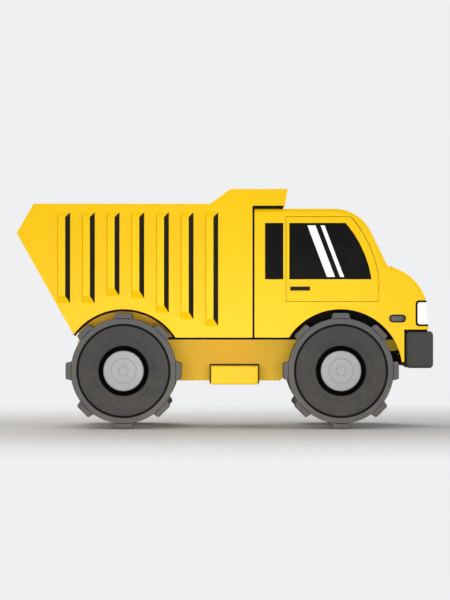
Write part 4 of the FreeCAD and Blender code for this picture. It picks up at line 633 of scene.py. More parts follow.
def paint_finish(name, base, wear, dust, roughness=0.42, streaks=0.05, scoured=False):
    """Painted steel: orange peel, worn edges and dust low down, and on request scoured inner faces."""
    tones = colours()
    finish = Finish(name, specular=0.1, Coat_Weight=0.03, Coat_Roughness=0.25)
    mottle = finish.group("Mottle", Patch=1.1, Grain=260.0)
    edge = finish.group("Edge Wear", Width=0.007, Amount=wear, Grain=7.0)["Mask"]
    road = finish.group("Road Dust", Reach=1.9, Amount=dust, Blotch=1.9)["Mask"]
    graph = finish.graph
    body = tinted(finish, base, mottle["Patches"])
    body = graph.mix(graph.math("MULTIPLY", mottle["Streaks"], streaks), body, tones.dust)
    body = graph.mix(road, body, tones.dust)
    if scoured:
        edge = graph.math("MAXIMUM", edge, side_scour(finish))
    finish.set(Base_Color=graph.mix(edge, body, tones.bare))
    rough = graph.math("MULTIPLY_ADD", mottle["Patches"], 0.12, roughness - 0.06)
    finish.set(Roughness=graph.math("MAXIMUM", rough, graph.math("MULTIPLY", road, 1.6), clamp=True))
    finish.set(Metallic=graph.math("MULTIPLY", edge, 0.6))
    finish.bump(mottle["Fine"], 0.0004, 0.35)


def facing_out(graph):
    """Mask of the bed plate's outer faces, which look forwards or down."""
    outside = (0.35, 0, -1)
    return graph.span(graph.dot(graph.normal(), outside), 0.20, 0.30)


def steel_finish():
    """Bed plate: scoured inside, with streaks, scratches and rust, and still painted outside."""
    tones = colours()
    finish = Finish("Bed Steel", specular=0.2)
    mottle = finish.group("Mottle", Patch=1.7, Grain=60.0)
    scratch = finish.group("Scratches", Fineness=22.0, Amount=0.7)["Mask"]
    graph = finish.graph
    base = tinted(finish, tones.steel, mottle["Patches"], 0.35)
    rust = graph.span(graph.noise(graph.place(), 2.6, 6.0, 0.68), 0.52, 0.74)
    base = graph.mix(graph.math("MULTIPLY", rust, 0.45), base, RUST)
    base = graph.mix(graph.math("MULTIPLY", scratch, 0.55), base, PLATE_SCRATCH)
    painted = facing_out(graph)
    bare = graph.math("SUBTRACT", 1.0, painted)
    finish.set(Base_Color=graph.mix(painted, base, tinted(finish, tones.paint, mottle["Patches"])))
    shine = graph.math("MULTIPLY_ADD", scratch, 0.5, 0.35, clamp=True)
    finish.set(Metallic=graph.math("MULTIPLY", shine, bare))
    finish.set(Roughness=graph.math("MULTIPLY_ADD", mottle["Patches"], 0.3, 0.38))
    height = graph.math("ADD", graph.math("MULTIPLY", mottle["Patches"], 1.5), mottle["Fine"])
    finish.bump(height, 0.003, 0.5)


def iron_finish():
    """Painted axle castings, grimy and rough."""
    tones = colours()
    finish = Finish("Axle Iron", specular=0.3)
    mottle = finish.group("Mottle", Patch=4.0, Grain=120.0)
    edge = finish.group("Edge Wear", Width=0.006, Amount=0.6, Grain=14.0)["Mask"]
    road = finish.group("Road Dust", Reach=1.7, Amount=0.5, Blotch=4.0)["Mask"]
    graph = finish.graph
    base = graph.mix(road, tinted(finish, tones.iron, mottle["Patches"], 0.3), tones.dust)
    finish.set(Base_Color=graph.mix(edge, base, tones.bare))
    finish.set(Metallic=graph.math("MULTIPLY", edge, 0.8))
    finish.set(Roughness=graph.math("MULTIPLY_ADD", mottle["Fine"], 0.25, 0.5))
    finish.bump(mottle["Fine"], 0.0015, 0.7)


def spring_finish():
    """Stacked spring leaves with dark joints between them."""
    tones = colours()
    finish = Finish("Spring Steel", specular=0.3)
    mottle = finish.group("Mottle", Patch=5.0, Grain=150.0)
    graph = finish.graph
    leaf = graph.math("PINGPONG", graph.split(graph.place())["Z"], 0.006)
    joint = graph.span(leaf, 0.0012, 0.0)
    base = tinted(finish, tones.iron, mottle["Patches"], 0.3)
    finish.set(Base_Color=graph.mix(joint, base, LEAF_JOINT))
    finish.set(Roughness=graph.math("MULTIPLY_ADD", mottle["Patches"], 0.3, 0.4))
    finish.bump(graph.math("SUBTRACT", 1.0, joint), 0.003, 0.8)


def weld_finish():
    """Laid weld beads: close ripples, heat tint and a little rust."""
    finish = Finish("Weld Bead", metallic=0.7, specular=0.4)
    mottle = finish.group("Mottle", Patch=9.0, Grain=200.0)
    graph = finish.graph
    where = graph.split(graph.place())
    run = graph.math("ADD", where["X"], graph.math("MULTIPLY", where["Z"], 0.6))
    ripple = graph.math("PINGPONG", run, 0.006)
    finish.set(Base_Color=graph.mix(mottle["Patches"], WELD_DARK, WELD_WARM))
    finish.set(Roughness=graph.math("MULTIPLY_ADD", mottle["Fine"], 0.3, 0.35))
    finish.bump(graph.math("MULTIPLY", ripple, 160.0), 0.004, 0.9)


def core_finish():
    """Radiator core: thin upright tubes with close fins between them."""
    tones = colours()
    finish = Finish("Radiator Core", metallic=0.4, specular=0.3)
    mottle = finish.group("Mottle", Patch=5.0, Grain=200.0)
    graph = finish.graph
    where = graph.split(graph.place())
    fin = graph.span(graph.math("PINGPONG", where["Z"], 0.004), 0.0, 0.004)
    tube = graph.span(graph.math("PINGPONG", where["Y"], 0.016), 0.012, 0.014)
    height = graph.math("MAXIMUM", graph.math("MULTIPLY", fin, 0.5), tube)
    finish.set(Base_Color=graph.mix(height, CORE_SHADE, tones.iron))
    finish.set(Roughness=graph.math("MULTIPLY_ADD", mottle["Patches"], 0.2, 0.45))
    finish.bump(height, 0.004, 0.8)


def rod_finish():
    """Ground and chromed ram rods."""
    finish = Finish("Polished Rod", metallic=1.0)
    mottle = finish.group("Mottle", Patch=6.0, Grain=300.0)
    graph = finish.graph
    finish.set(Base_Color=graph.mix(mottle["Patches"], CHROME_DARK, CHROME_LIGHT))
    finish.set(Roughness=graph.math("MULTIPLY_ADD", mottle["Fine"], 0.18, 0.1))
    finish.bump(mottle["Fine"], 0.0002, 0.3)


def hub_finish():
    """Plain metal hub covers with handling marks and worn edges."""
    tones = colours()
    finish = Finish("Hub Metal", specular=0.3)
    mottle = finish.group("Mottle", Patch=5.0, Grain=220.0)
    scratch = finish.group("Scratches", Fineness=70.0, Amount=0.35)["Mask"]
    edge = finish.group("Edge Wear", Width=0.006, Amount=0.5, Grain=22.0)["Mask"]
    graph = finish.graph
    base = tinted(finish, tones.hub, mottle["Patches"], 0.09)
    base = graph.mix(graph.math("MULTIPLY", scratch, 0.5), base, HUB_SCRATCH)
    finish.set(Base_Color=graph.mix(edge, base, HUB_EDGE))
    finish.set(Metallic=graph.math("MULTIPLY_ADD", scratch, 0.3, 0.15))
    finish.set(Roughness=graph.math("MULTIPLY_ADD", mottle["Fine"], 0.2, 0.36))
    finish.bump(mottle["Fine"], 0.0004, 0.4)


def dish_shade_finish():
    """Dull black primer of the deep wheel dishes, made darker and duller as painted shade in their recess,
    so it hardly catches any light.
    """
    finish = Finish("Dish Black", specular=0.02)
    mottle = finish.group("Mottle", Patch=4.0, Grain=240.0)
    finish.set(Base_Color=tinted(finish, colours().dish, mottle["Patches"], 0.1))
    finish.set(Roughness=finish.graph.math("MULTIPLY_ADD", mottle["Fine"], 0.1, 0.7))
    finish.bump(mottle["Fine"], 0.0004, 0.3)


def rubber_finish(name, base, grain, dust, roughness=0.78):
    """Rubber or matt moulding: fine pores, pale scuffs and dust."""
    tones = colours()
    finish = Finish(name, specular=0.1)
    mottle = finish.group("Mottle", Patch=3.2, Grain=grain)
    road = finish.group("Road Dust", Reach=2.2, Amount=dust, Blotch=3.6)["Mask"]
    edge = finish.group("Edge Wear", Width=0.008, Amount=0.3, Grain=12.0)["Mask"]
    graph = finish.graph
    body = graph.mix(road, tinted(finish, base, mottle["Patches"], 0.12), tones.dust)
    pale = [min(1, part * 1.5 + 0.01) for part in base]
    finish.set(Base_Color=graph.mix(edge, body, pale))
    finish.set(Roughness=graph.math("MULTIPLY_ADD", mottle["Patches"], 0.16, roughness - 0.08))
    finish.bump(mottle["Fine"], 0.0009, 0.6)


def glass_finish():
    """Dark tinted glass with a trace of dust."""
    tones = colours()
    finish = Finish("Tinted Glass", specular=0.12, IOR=1.45)
    mottle = finish.group("Mottle", Patch=2.4, Grain=90.0)
    graph = finish.graph
    smear = graph.span(mottle["Patches"], 0.5, 0.9, 0.0, 0.03)
    finish.set(Base_Color=graph.mix(smear, tones.glass, tones.dust))
    finish.set(Roughness=graph.math("MULTIPLY_ADD", mottle["Patches"], 0.08, 0.04))


def lamp_finish(name, base, flute, gloss=0.3):
    """Moulded lens with level flutes behind a glossy face."""
    finish = Finish(name, specular=gloss, Coat_Weight=gloss)
    graph = finish.graph
    mottle = finish.group("Mottle", Patch=8.0, Grain=200.0)
    ridge = graph.math("PINGPONG", graph.split(graph.place())["Z"], flute)
    line = graph.span(ridge, 0.0, flute)
    shade = [part * 0.86 for part in base]
    finish.set(Base_Color=graph.mix(graph.span(line, 0.0, 0.18), shade, base))
    finish.set(Roughness=graph.math("MULTIPLY_ADD", mottle["Patches"], 0.12, 0.12))
    finish.bump(line, 0.0015, 0.5)


def highlight_and_print_finish():
    """White bands, a little worn: painted reflections on the door windows, and the printed marks on the
    dials.
    """
    tones = colours()
    finish = Finish("White Band", specular=0.2)
    mottle = finish.group("Mottle", Patch=6.0, Grain=240.0)
    finish.set(Base_Color=tinted(finish, tones.highlight_and_print, mottle["Patches"], 0.02))
    finish.set(Roughness=finish.graph.math("MULTIPLY_ADD", mottle["Fine"], 0.1, 0.3))


def cloth_finish():
    """Woven seat cloth with a soft sheen."""
    tones = colours()
    finish = Finish("Seat Cloth", roughness=0.9, specular=0.12, Sheen_Weight=0.25, Sheen_Roughness=0.5)
    mottle = finish.group("Mottle", Patch=7.0, Grain=160.0)
    weave = finish.group("Weave", Threads=700.0)["Height"]
    graph = finish.graph
    dark = [part * 0.6 for part in tones.cloth]
    base = graph.mix(weave, dark, tones.cloth)
    finish.set(Base_Color=graph.mix(graph.math("MULTIPLY", mottle["Patches"], 0.3), base, dark))
    finish.bump(weave, 0.0012, 0.6)


class TRUCK_OT_finishes(bpy.types.Operator):
    """Make every finish and give each solid its own"""
    bl_idname = "truck.finishes"
    bl_label = "Finishes"

    by_slot = {
        "yellow_paint": "Yellow Paint",
        "black_paint": "Black Paint",
        "bumper_grey": "Bumper Moulding",
        "bed_steel": "Bed Steel",
        "hub_grey": "Hub Metal",
        "axle_steel": "Axle Iron",
        "polished_rod": "Polished Rod",
        "tyre_rubber": "Tread Rubber",
        "black_rubber": "Black Rubber",
        "dark_glass": "Tinted Glass",
        "white_lens": "White Lens",
        "grey_lens": "Grey Lens",
        "red_lens": "Red Lens",
        "black_plastic": "Cab Plastic",
        "seat_cloth": "Seat Cloth",
    }

    def execute(self, context):
        tones = colours()
        for make in (build_edge_wear, build_mottle, build_road_dust, build_scratches, build_weave):
            make()
        paint_finish("Yellow Paint", tones.paint, 0.55, 0.16)
        paint_finish("Bed Paint", tones.paint, 0.55, 0.16, scoured=True)
        paint_finish("Black Paint", tones.black, 0.25, 0.02, 0.5, 0.006)
        for make in (steel_finish, iron_finish, spring_finish, weld_finish, core_finish, rod_finish,
                     hub_finish, dish_shade_finish, glass_finish, highlight_and_print_finish, cloth_finish):
            make()
        rubber_finish("Tread Rubber", tones.tread, 110.0, 0.3)
        rubber_finish("Sidewall Rubber", tones.sidewall, 150.0, 0.16)
        rubber_finish("Bumper Moulding", tones.bumper, 240.0, 0.12, 0.62)
        rubber_finish("Black Rubber", tones.rubber, 200.0, 0.03)
        rubber_finish("Cab Plastic", tones.plastic, 320.0, 0.03, 0.6)
        lamp_finish("White Lens", tones.lamp, 0.014)
        lamp_finish("Grey Lens", tones.marker, 0.008, 0.06)
        lamp_finish("Red Lens", tones.tail, 0.008)
        own = {
            "bed_sides": "Bed Paint",
            "leaf_springs": "Spring Steel",
            "hoist_barrels": "Black Paint",
            "radiator": "Radiator Core",
        }
        for solid in frame["record"]["subparts"]:
            name = own.get(solid["node"], self.by_slot[solid["material_slot"]])
            node = NODES[solid["node"]]
            node.data.materials.clear()
            give(node, name)
        return {"FINISHED"}


def wheel_centre(wheel):
    low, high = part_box("tyre_" + wheel)
    return (low + high) / 2


def turned_face(piece, centre, outward, profile):
    """Steps one flat end of a drum inwards along a profile of (radius, reach from the wheel's middle)."""
    pick(piece, lambda c, n: n.y * outward > 0.9 and (c - centre).xz.length < 0.001)
    for (radius, reach), (inner, depth) in zip(profile, profile[1:]):
        bpy.ops.mesh.inset(thickness=radius - inner, depth=depth - reach, use_even_offset=True)
    bpy.ops.mesh.delete(type="FACE")
    bpy.ops.object.mode_set(mode="OBJECT")


def close_bore(piece, radius, centre):
    """Joins the open rims that are left at one radius on both ends."""
    activate(piece)
    bpy.context.tool_settings.mesh_select_mode = (False, True, False)
    points = piece.data.vertices
    spare = 0.002
    near = [(point.co - centre).xz.length < radius + spare for point in points]
    edges = [near[e.vertices[0]] and near[e.vertices[1]] for e in piece.data.edges]
    piece.data.vertices.foreach_set("select", [False] * len(points))
    piece.data.polygons.foreach_set("select", [False] * len(piece.data.polygons))
    piece.data.edges.foreach_set("select", edges)
    bpy.ops.object.mode_set(mode="EDIT")
    bpy.ops.mesh.bridge_edge_loops()
    bpy.ops.object.mode_set(mode="OBJECT")


def paint_faces(piece, test):
    """Gives the faces that pass a test the piece's second material."""
    for face in piece.data.polygons:
        if test(face):
            face.material_index = 1


def on_all_wheels(piece, kind, slot):
    """Copies the rear right tyre or rim to the other wheels, and gives each its body."""
    reach = wheel_centre("front_right") - wheel_centre("rear_right")
    made = {"rear_right": piece, "front_right": moved(twin(piece, f"{kind}_piece_front_right"), reach)}
    for end in ("rear", "front"):
        middle = wheel_centre(f"{end}_right")
        left = twin(made[f"{end}_right"], f"{kind}_piece_{end}_left")
        made[f"{end}_left"] = turned(left, pi, "Z", (middle.x, 0, middle.z))
    for wheel, part in made.items():
        ready(part, f"wheel_{wheel}", slot, replaces=[f"{kind}_{wheel}"])


class TRUCK_OT_tyres(bpy.types.Operator):
    """Lugged tyres with a rounded shoulder, a groove painted black as shade, and a crowned sidewall"""
    bl_idname = "truck.tyres"
    bl_label = "Tyres"

    lug_height = 0.093
    lug_count = 8

    def carcass(self, centre):
        """The tyre's body; its outer face has the groove and the moulded rings."""
        s = sizes()
        low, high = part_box("tyre_rear_right")
        half = (high.y - low.y) / 2
        rim_low, rim_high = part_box("rim_rear_right")
        tip = (high.z - low.z) / 2
        tread = tip - self.lug_height
        bead = (rim_high.z - rim_low.z) / 2
        groove_out = s.groove_radius + s.groove_width / 2
        groove_in = s.groove_radius - s.groove_width / 2
        piece = drum("tyre_rear_right_piece", centre, tread, 2 * half, s.turns)
        outer = [
            (tread, half), (tread - 0.010, half), (groove_out + 0.004, half - 0.002),
            (groove_out, half - 0.006), (groove_out - 0.003, half - s.groove_depth),
            (groove_in + 0.003, half - s.groove_depth), (groove_in, half - 0.008),
            (groove_in - 0.010, half - 0.003), (groove_in - 0.060, half - 0.001),
            (groove_in - 0.130, half - 0.003), (groove_in - 0.200, half - 0.009),
            (groove_in - 0.240, half - 0.016), (groove_in - 0.246, half - 0.022),
            (groove_in - 0.256, half - 0.022), (groove_in - 0.262, half - 0.017),
            (bead + 0.040, half - 0.024), (bead + 0.012, half - 0.034), (bead, half - 0.050),
        ]
        inner = [
            (tread, half), (tread - 0.060, half - 0.004), (tread - 0.200, half - 0.010),
            (bead + 0.060, half - 0.020), (bead, half - 0.050),
        ]
        turned_face(piece, centre, -1, outer)
        turned_face(piece, centre, 1, inner)
        close_bore(piece, bead, centre)
        return piece, half, tread, tip

    def lug(self, centre, half, tread, tip):
        """One bar lug across the tread at the wheel's top, in three blocks that narrow to their tips."""
        s = sizes()
        worn = 0.004
        root = centre.z + tread * 0.94
        top = centre.z + tip - worn
        tip_share = 0.81
        gap = s.lug_gap / 2
        edges = (-half, -half / 3, half / 3, half)
        blocks = []
        for start, stop in zip(edges, edges[1:]):
            low = (centre.x - s.lug_width / 2, centre.y + start + gap, root)
            high = (centre.x + s.lug_width / 2, centre.y + stop - gap, top)
            piece = block("lug_block", low, high)
            scale_faces(piece, lambda c, n: n.z > 0.9, (tip_share, 1, 1), (centre.x, centre.y, top))
            blocks.append(piece)
        for piece, way in ((blocks[0], -1), (blocks[2], 1)):
            shift_points(piece, lambda p, way=way: (p.y - centre.y) * way > half * 0.9, (0, way * gap, 0))
        for piece in blocks:
            round_edges(piece, s.lug_round, 4)
        return joined(blocks, "lug")

    def execute(self, context):
        centre = wheel_centre("rear_right")
        piece, half, tread, tip = self.carcass(centre)
        lugs = [self.lug(centre, half, tread, tip)]
        for i in range(1, self.lug_count):
            lugs.append(turned(twin(lugs[0], f"lug_{i}"), i * 2 * pi / self.lug_count, "Y", centre))
        tyre = joined([piece] + lugs, "tyre_piece_rear_right")
        give(tyre, "Tread Rubber", "Sidewall Rubber", "Black Rubber")
        s = sizes()
        for face in tyre.data.polygons:
            away = (face.center - centre).xz.length
            # The groove on the outer face gets the black rubber as painted shade; on the inner face it
            # keeps the sidewall's rubber.
            if abs(away - s.groove_radius) < s.groove_width / 2:
                face.material_index = 2 if face.center.y < centre.y else 1
            elif away < s.groove_radius:
                face.material_index = 1
        smooth(tyre, 40)
        on_all_wheels(tyre, "tyre", "tyre_rubber")
        return {"FINISHED"}


class TRUCK_OT_rims(bpy.types.Operator):
    """Wheel dishes with domed hub covers and rings of nuts"""
    bl_idname = "truck.rims"
    bl_label = "Rims"

    def two_tone(self, piece, dark):
        """Bare metal, with black primer and painted shade on the faces that pass a test."""
        give(piece, "Hub Metal", "Dish Black")
        paint_faces(piece, dark)

    def execute(self, context):
        s = sizes()
        low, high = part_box("rim_rear_right")
        centre = wheel_centre("rear_right")
        radius = (high.z - low.z) / 2
        face, back = centre.y - low.y, centre.y - high.y
        sunk, hub = 0.042, 0.347
        dish = face - sunk
        middle = (centre.x, (low.y + sunk + high.y) / 2, centre.z)
        piece = drum("rim_piece_rear_right", middle, radius, dish - back, s.turns)
        turned_face(piece, centre, -1, [
            (radius, dish), (radius - 0.012, dish), (radius - 0.018, dish - 0.014),
            (hub + 0.006, dish - 0.014), (hub + 0.001, dish - 0.010), (hub, face - 0.014),
            (hub - 0.003, face - 0.006), (hub - 0.010, face - 0.002), (hub - 0.022, face - 0.001),
            (0.225, face), (0.218, face - 0.005), (0.208, face - 0.005), (0.201, face),
            (0.092, face), (0.088, face - 0.008), (0.078, face - 0.008), (0.074, face), (0.020, face),
        ])
        close_holes(piece, bpy.ops.mesh.fill)
        self.two_tone(piece, lambda f: (f.center - centre).xz.length > hub + 0.0005
                      or f.center.y > centre.y - dish + 0.02)
        nuts = []
        for i in range(s.nuts):
            angle = 2 * pi * i / s.nuts
            at = centre + Vector((s.nut_ring * cos(angle), 0.004 - dish, s.nut_ring * sin(angle)))
            nut = drum(f"nut_{i}", at, s.nut_radius, 0.024, 6, angle)
            self.two_tone(nut, lambda f: True)
            round_edges(nut, 0.003, 1)
            nuts.append(nut)
        rim = joined([piece] + nuts, "rim_piece_rear_right")
        smooth(rim, 30)
        on_all_wheels(rim, "rim", "hub_grey")
        return {"FINISHED"}


class TRUCK_OT_rib_flank_shade(bpy.types.Operator):
    """Black coat on the sloping front flank of each rib of the bed: painted shade on that flank"""
    bl_idname = "truck.rib_flanks"
    bl_label = "Rib flanks"

    def execute(self, context):
        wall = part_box("cab_guard")[1].y

        def flank(c, n):
            """Faces that look forwards and outwards at once, outside the bed's wall."""
            return n.x > 0.5 and 0.6 < abs(n.y) < 0.9 and abs(c.y) > wall

        piece = from_solid("bed_sides", "rib_flanks")
        drop_faces(piece, lambda c, n: not flank(c, n))
        thicken(piece, sizes().flank_skin)
        # The black on the flanks is painted shade.
        ready(piece, "bed", "black_paint", "Black Paint")
        return {"FINISHED"}


class TRUCK_OT_arch_edging(bpy.types.Operator):
    """Rubber edging round the bed's wheel arches, whose black also stands in for the shade in the gap
    round the tyres
    """
    bl_idname = "truck.arch_edging"
    bl_label = "Arch edging"

    def execute(self, context):
        centre = wheel_centre("rear_right")
        arch_reach = 1.07
        piece = from_solid("bed_sides", "arch_edging")
        drop_faces(piece, lambda c, n: abs(n.y) > 0.3 or n.xz.dot((centre - c).xz.normalized()) < 0.95
                   or (c - centre).xz.length > arch_reach)
        thicken(piece, sizes().edging)
        round_edges(piece, 0.006, 2)
        smooth(piece)
        # The edging's black is real rubber, and also painted shade of the gap round the tyres.
        ready(piece, "bed", "black_rubber", "Black Rubber")
        return {"FINISHED"}


class TRUCK_OT_bumper(bpy.types.Operator):
    """Moulded bumper, rounded all round, with seams between its three parts"""
    bl_idname = "truck.bumper"
    bl_label = "Bumper"

    def execute(self, context):
        low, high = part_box("bumper")
        seam, rounding, seam_share = 0.93, 0.066, 0.06
        parts = []
        for start, stop in ((low.y, -seam), (-seam, seam), (seam, high.y)):
            parts.append(block("part", (low.x, start, low.z), (high.x, stop, high.z)))
        made = joined(parts, "bumper_piece")
        activate(made)
        bpy.ops.object.modifier_add(type="BEVEL")
        edge = made.modifiers[-1]
        edge.width = rounding
        edge.segments = 6
        edge.limit_method = "WEIGHT"
        weights = made.data.attributes.new("bevel_weight_edge", "FLOAT", "EDGE")
        for line in made.data.edges:
            ends = [made.data.vertices[i].co for i in line.vertices]
            along = abs(ends[0].y - ends[1].y) > 0.1
            outer = all(abs(end.y) > high.y - 0.001 for end in ends)
            weights.data[line.index].value = 1.0 if along or outer else seam_share
        bpy.ops.object.modifier_apply(modifier=edge.name)
        smooth(made, 40)
        ready(made, "chassis", "bumper_grey", "Bumper Moulding", replaces=["bumper"])
        return {"FINISHED"}


class TRUCK_OT_splash_plates(bpy.types.Operator):
    """Rubber splash plates between the frame's front end and the bumper"""
    bl_idname = "truck.splash_plates"
    bl_label = "Splash plates"

    def execute(self, context):
        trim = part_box("bumper_trim")[0]
        rear, top = 2.74, 1.330
        plate = block("splash_plate_left", (rear, 0.534, trim.z - 0.06), (trim.x + 0.006, 0.546, top))
        shift_points(plate, lambda p: p.x < 2.8 and p.z < 1.2, (0.12, 0, 0.03))
        inset_faces(plate, lambda c, n: n.y > 0.9, (0.018, 0), (0.003, -0.003))
        round_edges(plate, 0.003, 2)
        smooth(plate)
        for made in (plate, mirrored(plate, "splash_plate_right")):
            ready(made, "chassis", "black_rubber", "Black Rubber")
        return {"FINISHED"}


class TRUCK_OT_hoist(bpy.types.Operator):
    """Smooth skins for the rams, with a gland ring at the mouth of each stage"""
    bl_idname = "truck.hoist"
    bl_label = "Hoist rams"

    def gland(self, radius, bore, middle, depth, turn):
        """A rounded ring round a ram, with a wiper lip on its upper face."""
        ring = rod("gland", middle, radius, depth, "X", 48)
        lip = 0.002
        for way in (1, -1):
            pick(ring, lambda c, n, way=way: n.x * way > 0.9)
            bpy.ops.mesh.inset(thickness=radius - bore - lip, depth=0)
            bpy.ops.mesh.inset(thickness=lip, depth=lip * way)
            bpy.ops.mesh.delete(type="FACE")
            bpy.ops.object.mode_set(mode="OBJECT")
        close_holes(ring, bpy.ops.mesh.bridge_edge_loops)
        face_outwards(ring)
        round_edges(ring, 0.004, 2)
        return turned(ring, turn, "Y", middle)

    def execute(self, context):
        line = HOIST_HEAD - HOIST_FOOT
        along = line.normalized()
        turn = -tip_angle(line)
        # For each stage its slot, its finish, and its gland's upper end, radius, bore and depth.
        stages = {
            "hoist_barrels": ("axle_steel", "Black Paint", (1.1099, 0.094, 0.0695, 0.056)),
            "hoist_sleeves": ("polished_rod", "Polished Rod", (1.1699, 0.074, 0.0475, 0.040)),
            "hoist_rods": ("polished_rod", "Polished Rod", None),
        }
        for node, (slot, finish, gland) in stages.items():
            made = from_solid(node, node + "_skin")
            give(made, finish)
            if gland:
                top, radius, bore, depth = gland
                rings = []
                for side in (-1, 1):
                    middle = HOIST_FOOT + along * (top - depth / 2) + Vector((0, side * RAM_OFFSET, 0))
                    ring = self.gland(radius, bore, middle, depth, turn)
                    give(ring, "Black Paint")
                    rings.append(ring)
                made = joined([made] + rings, made.name)
            smooth(made, 28)
            ready(made, node, slot, replaces=[node])
        return {"FINISHED"}


class TRUCK_OT_window_seals(bpy.types.Operator):
    """Rubber seals round every pane"""
    bl_idname = "truck.window_seals"
    bl_label = "Window seals"

    def seal(self, node, body, outward):
        s = sizes()
        piece = from_solid(node, node.replace("glass", "seal"))
        drop_faces(piece, lambda c, n: not outward(c, n))
        keep_border(piece, s.seal_width)
        thicken(piece, s.seal_height)
        round_edges(piece, s.seal_height * 0.35, 2)
        smooth(piece)
        ready(piece, body, "black_rubber", "Black Rubber")

    def execute(self, context):
        for side, sign in SIDES.items():
            self.seal(f"door_glass_{side}", f"door_{side}", lambda c, n, sign=sign: n.y * sign > 0.9)
        self.seal("cab_glass", "chassis", lambda c, n: n.y * c.y > 0.9 or (n.x > 0.3 and abs(n.y) < 0.5))
        return {"FINISHED"}


class TRUCK_OT_window_highlights(bpy.types.Operator):
    """Two slanted white bands on each door window: painted reflections on the glass"""
    bl_idname = "truck.window_bands"
    bl_label = "Window bands"

    def execute(self, context):
        s = sizes()
        low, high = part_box("door_glass_right")
        margin = 0.041
        slant = 0.337
        # Each band's distance from the pane's rear edge at its head, and its width.
        layout = ((0.311, 0.139), (0.538, 0.069))
        bottom, top = low.z + margin, high.z - margin
        for side, sign in SIDES.items():
            face = low.y if sign < 0 else -low.y
            skins = sorted((face, face + sign * s.stripe_skin))
            bands = []
            # Each band is a painted reflection laid on the glass.
            for start, width in layout:
                first = low.x + start
                band = block("band", (first, skins[0], bottom), (first + width, skins[1], top))
                shift_points(band, lambda p: p.z < (bottom + top) / 2, (slant, 0, 0))
                bands.append(band)
            made = joined(bands, f"window_bands_{side}")
            ready(made, f"door_{side}", "white_lens", "White Band")
        return {"FINISHED"}


class TRUCK_OT_handles(bpy.types.Operator):
    """Pull handles with a finger recess, rounded all over"""
    bl_idname = "truck.handles"
    bl_label = "Door handles"

    def execute(self, context):
        low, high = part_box("door_handle_right")
        piece = block("door_pull_right", low, high)
        inset_faces(piece, lambda c, n: n.z < -0.9, (0.008, 0), (0.001, -0.022))
        round_edges(piece, 0.004, 3)
        smooth(piece)
        other = mirrored(piece, "door_pull_left")
        for side, made in (("right", piece), ("left", other)):
            ready(made, f"door_{side}", "black_plastic", "Cab Plastic", replaces=[f"door_handle_{side}"])
        return {"FINISHED"}


class TRUCK_OT_door_strips(bpy.types.Operator):
    """Rubber strips that close the gaps round the doors from inside"""
    bl_idname = "truck.door_strips"
    bl_label = "Door strips"

    def execute(self, context):
        s = sizes()
        low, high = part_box("door_right")
        inner = high.y
        piece = from_solid("door_right", "door_strip_right")

        def rim(c, n):
            """The outer edge of the door leaf, without its window and its hinge."""
            if c.y < low.y + 0.026 or abs(n.y) > 0.5:
                return False
            rear = n.x < -0.9 and c.x < low.x + 0.01
            foot = n.z < -0.9 and c.z < low.z + 0.01
            head = n.z > 0.9 and c.z > high.z - 0.01
            return rear or foot or head or (n.x > 0.3 and c.x > (low.x + high.x) / 2)

        drop_faces(piece, lambda c, n: not rim(c, n))
        outer = min(v.co.y for v in piece.data.vertices)
        shift_points(piece, lambda p: p.y < inner - 0.001, (0, inner - outer + s.strip_depth, 0))
        thicken(piece, s.strip_width, 0.36)
        face_outwards(piece)
        piece = moved(piece, (0, 0.001, 0))
        round_edges(piece, 0.004, 2, 50)
        smooth(piece)
        for made in (piece, mirrored(piece, "door_strip_left")):
            ready(made, "chassis", "black_rubber", "Black Rubber")
        return {"FINISHED"}


class TRUCK_OT_door_cards(bpy.types.Operator):
    """Moulded inside panels of the doors, with a pocket, an arm rest and a lever"""
    bl_idname = "truck.door_cards"
    bl_label = "Door cards"

    def execute(self, context):
        low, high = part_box("door_right")
        inner = high.y
        card = block("card", (low.x + 0.045, inner - 0.002, low.z + 0.045), (2.38, inner + 0.012, 2.545))
        inset_faces(card, lambda c, n: n.y > 0.9, (0.035, -0.006), (0.020, 0.003))
        round_edges(card, 0.003, 2)
        rest = block("rest", (1.42, inner, 2.435), (2.02, inner + 0.062, 2.490))
        scale_faces(rest, lambda c, n: n.z < -0.9, (0.94, 0.7, 1), (1.72, inner, 2.435))
        round_edges(rest, 0.014, 4)
        pocket = block("pocket", (1.30, inner, 2.262), (2.16, inner + 0.050, 2.360))
        inset_faces(pocket, lambda c, n: n.z > 0.9, (0.007, 0), (0.001, -0.080))
        round_edges(pocket, 0.003, 2)
        lever = block("lever", (2.14, inner + 0.004, 2.455), (2.27, inner + 0.030, 2.480))
        shift_points(lever, lambda p: p.x < 2.2, (0, 0.012, 0))
        round_edges(lever, 0.006, 3)
        made = joined([card, rest, pocket, lever], "door_card_right")
        smooth(made)
        for side, piece in (("right", made), ("left", mirrored(made, "door_card_left"))):
            ready(piece, f"door_{side}", "black_plastic", "Cab Plastic")
        return {"FINISHED"}


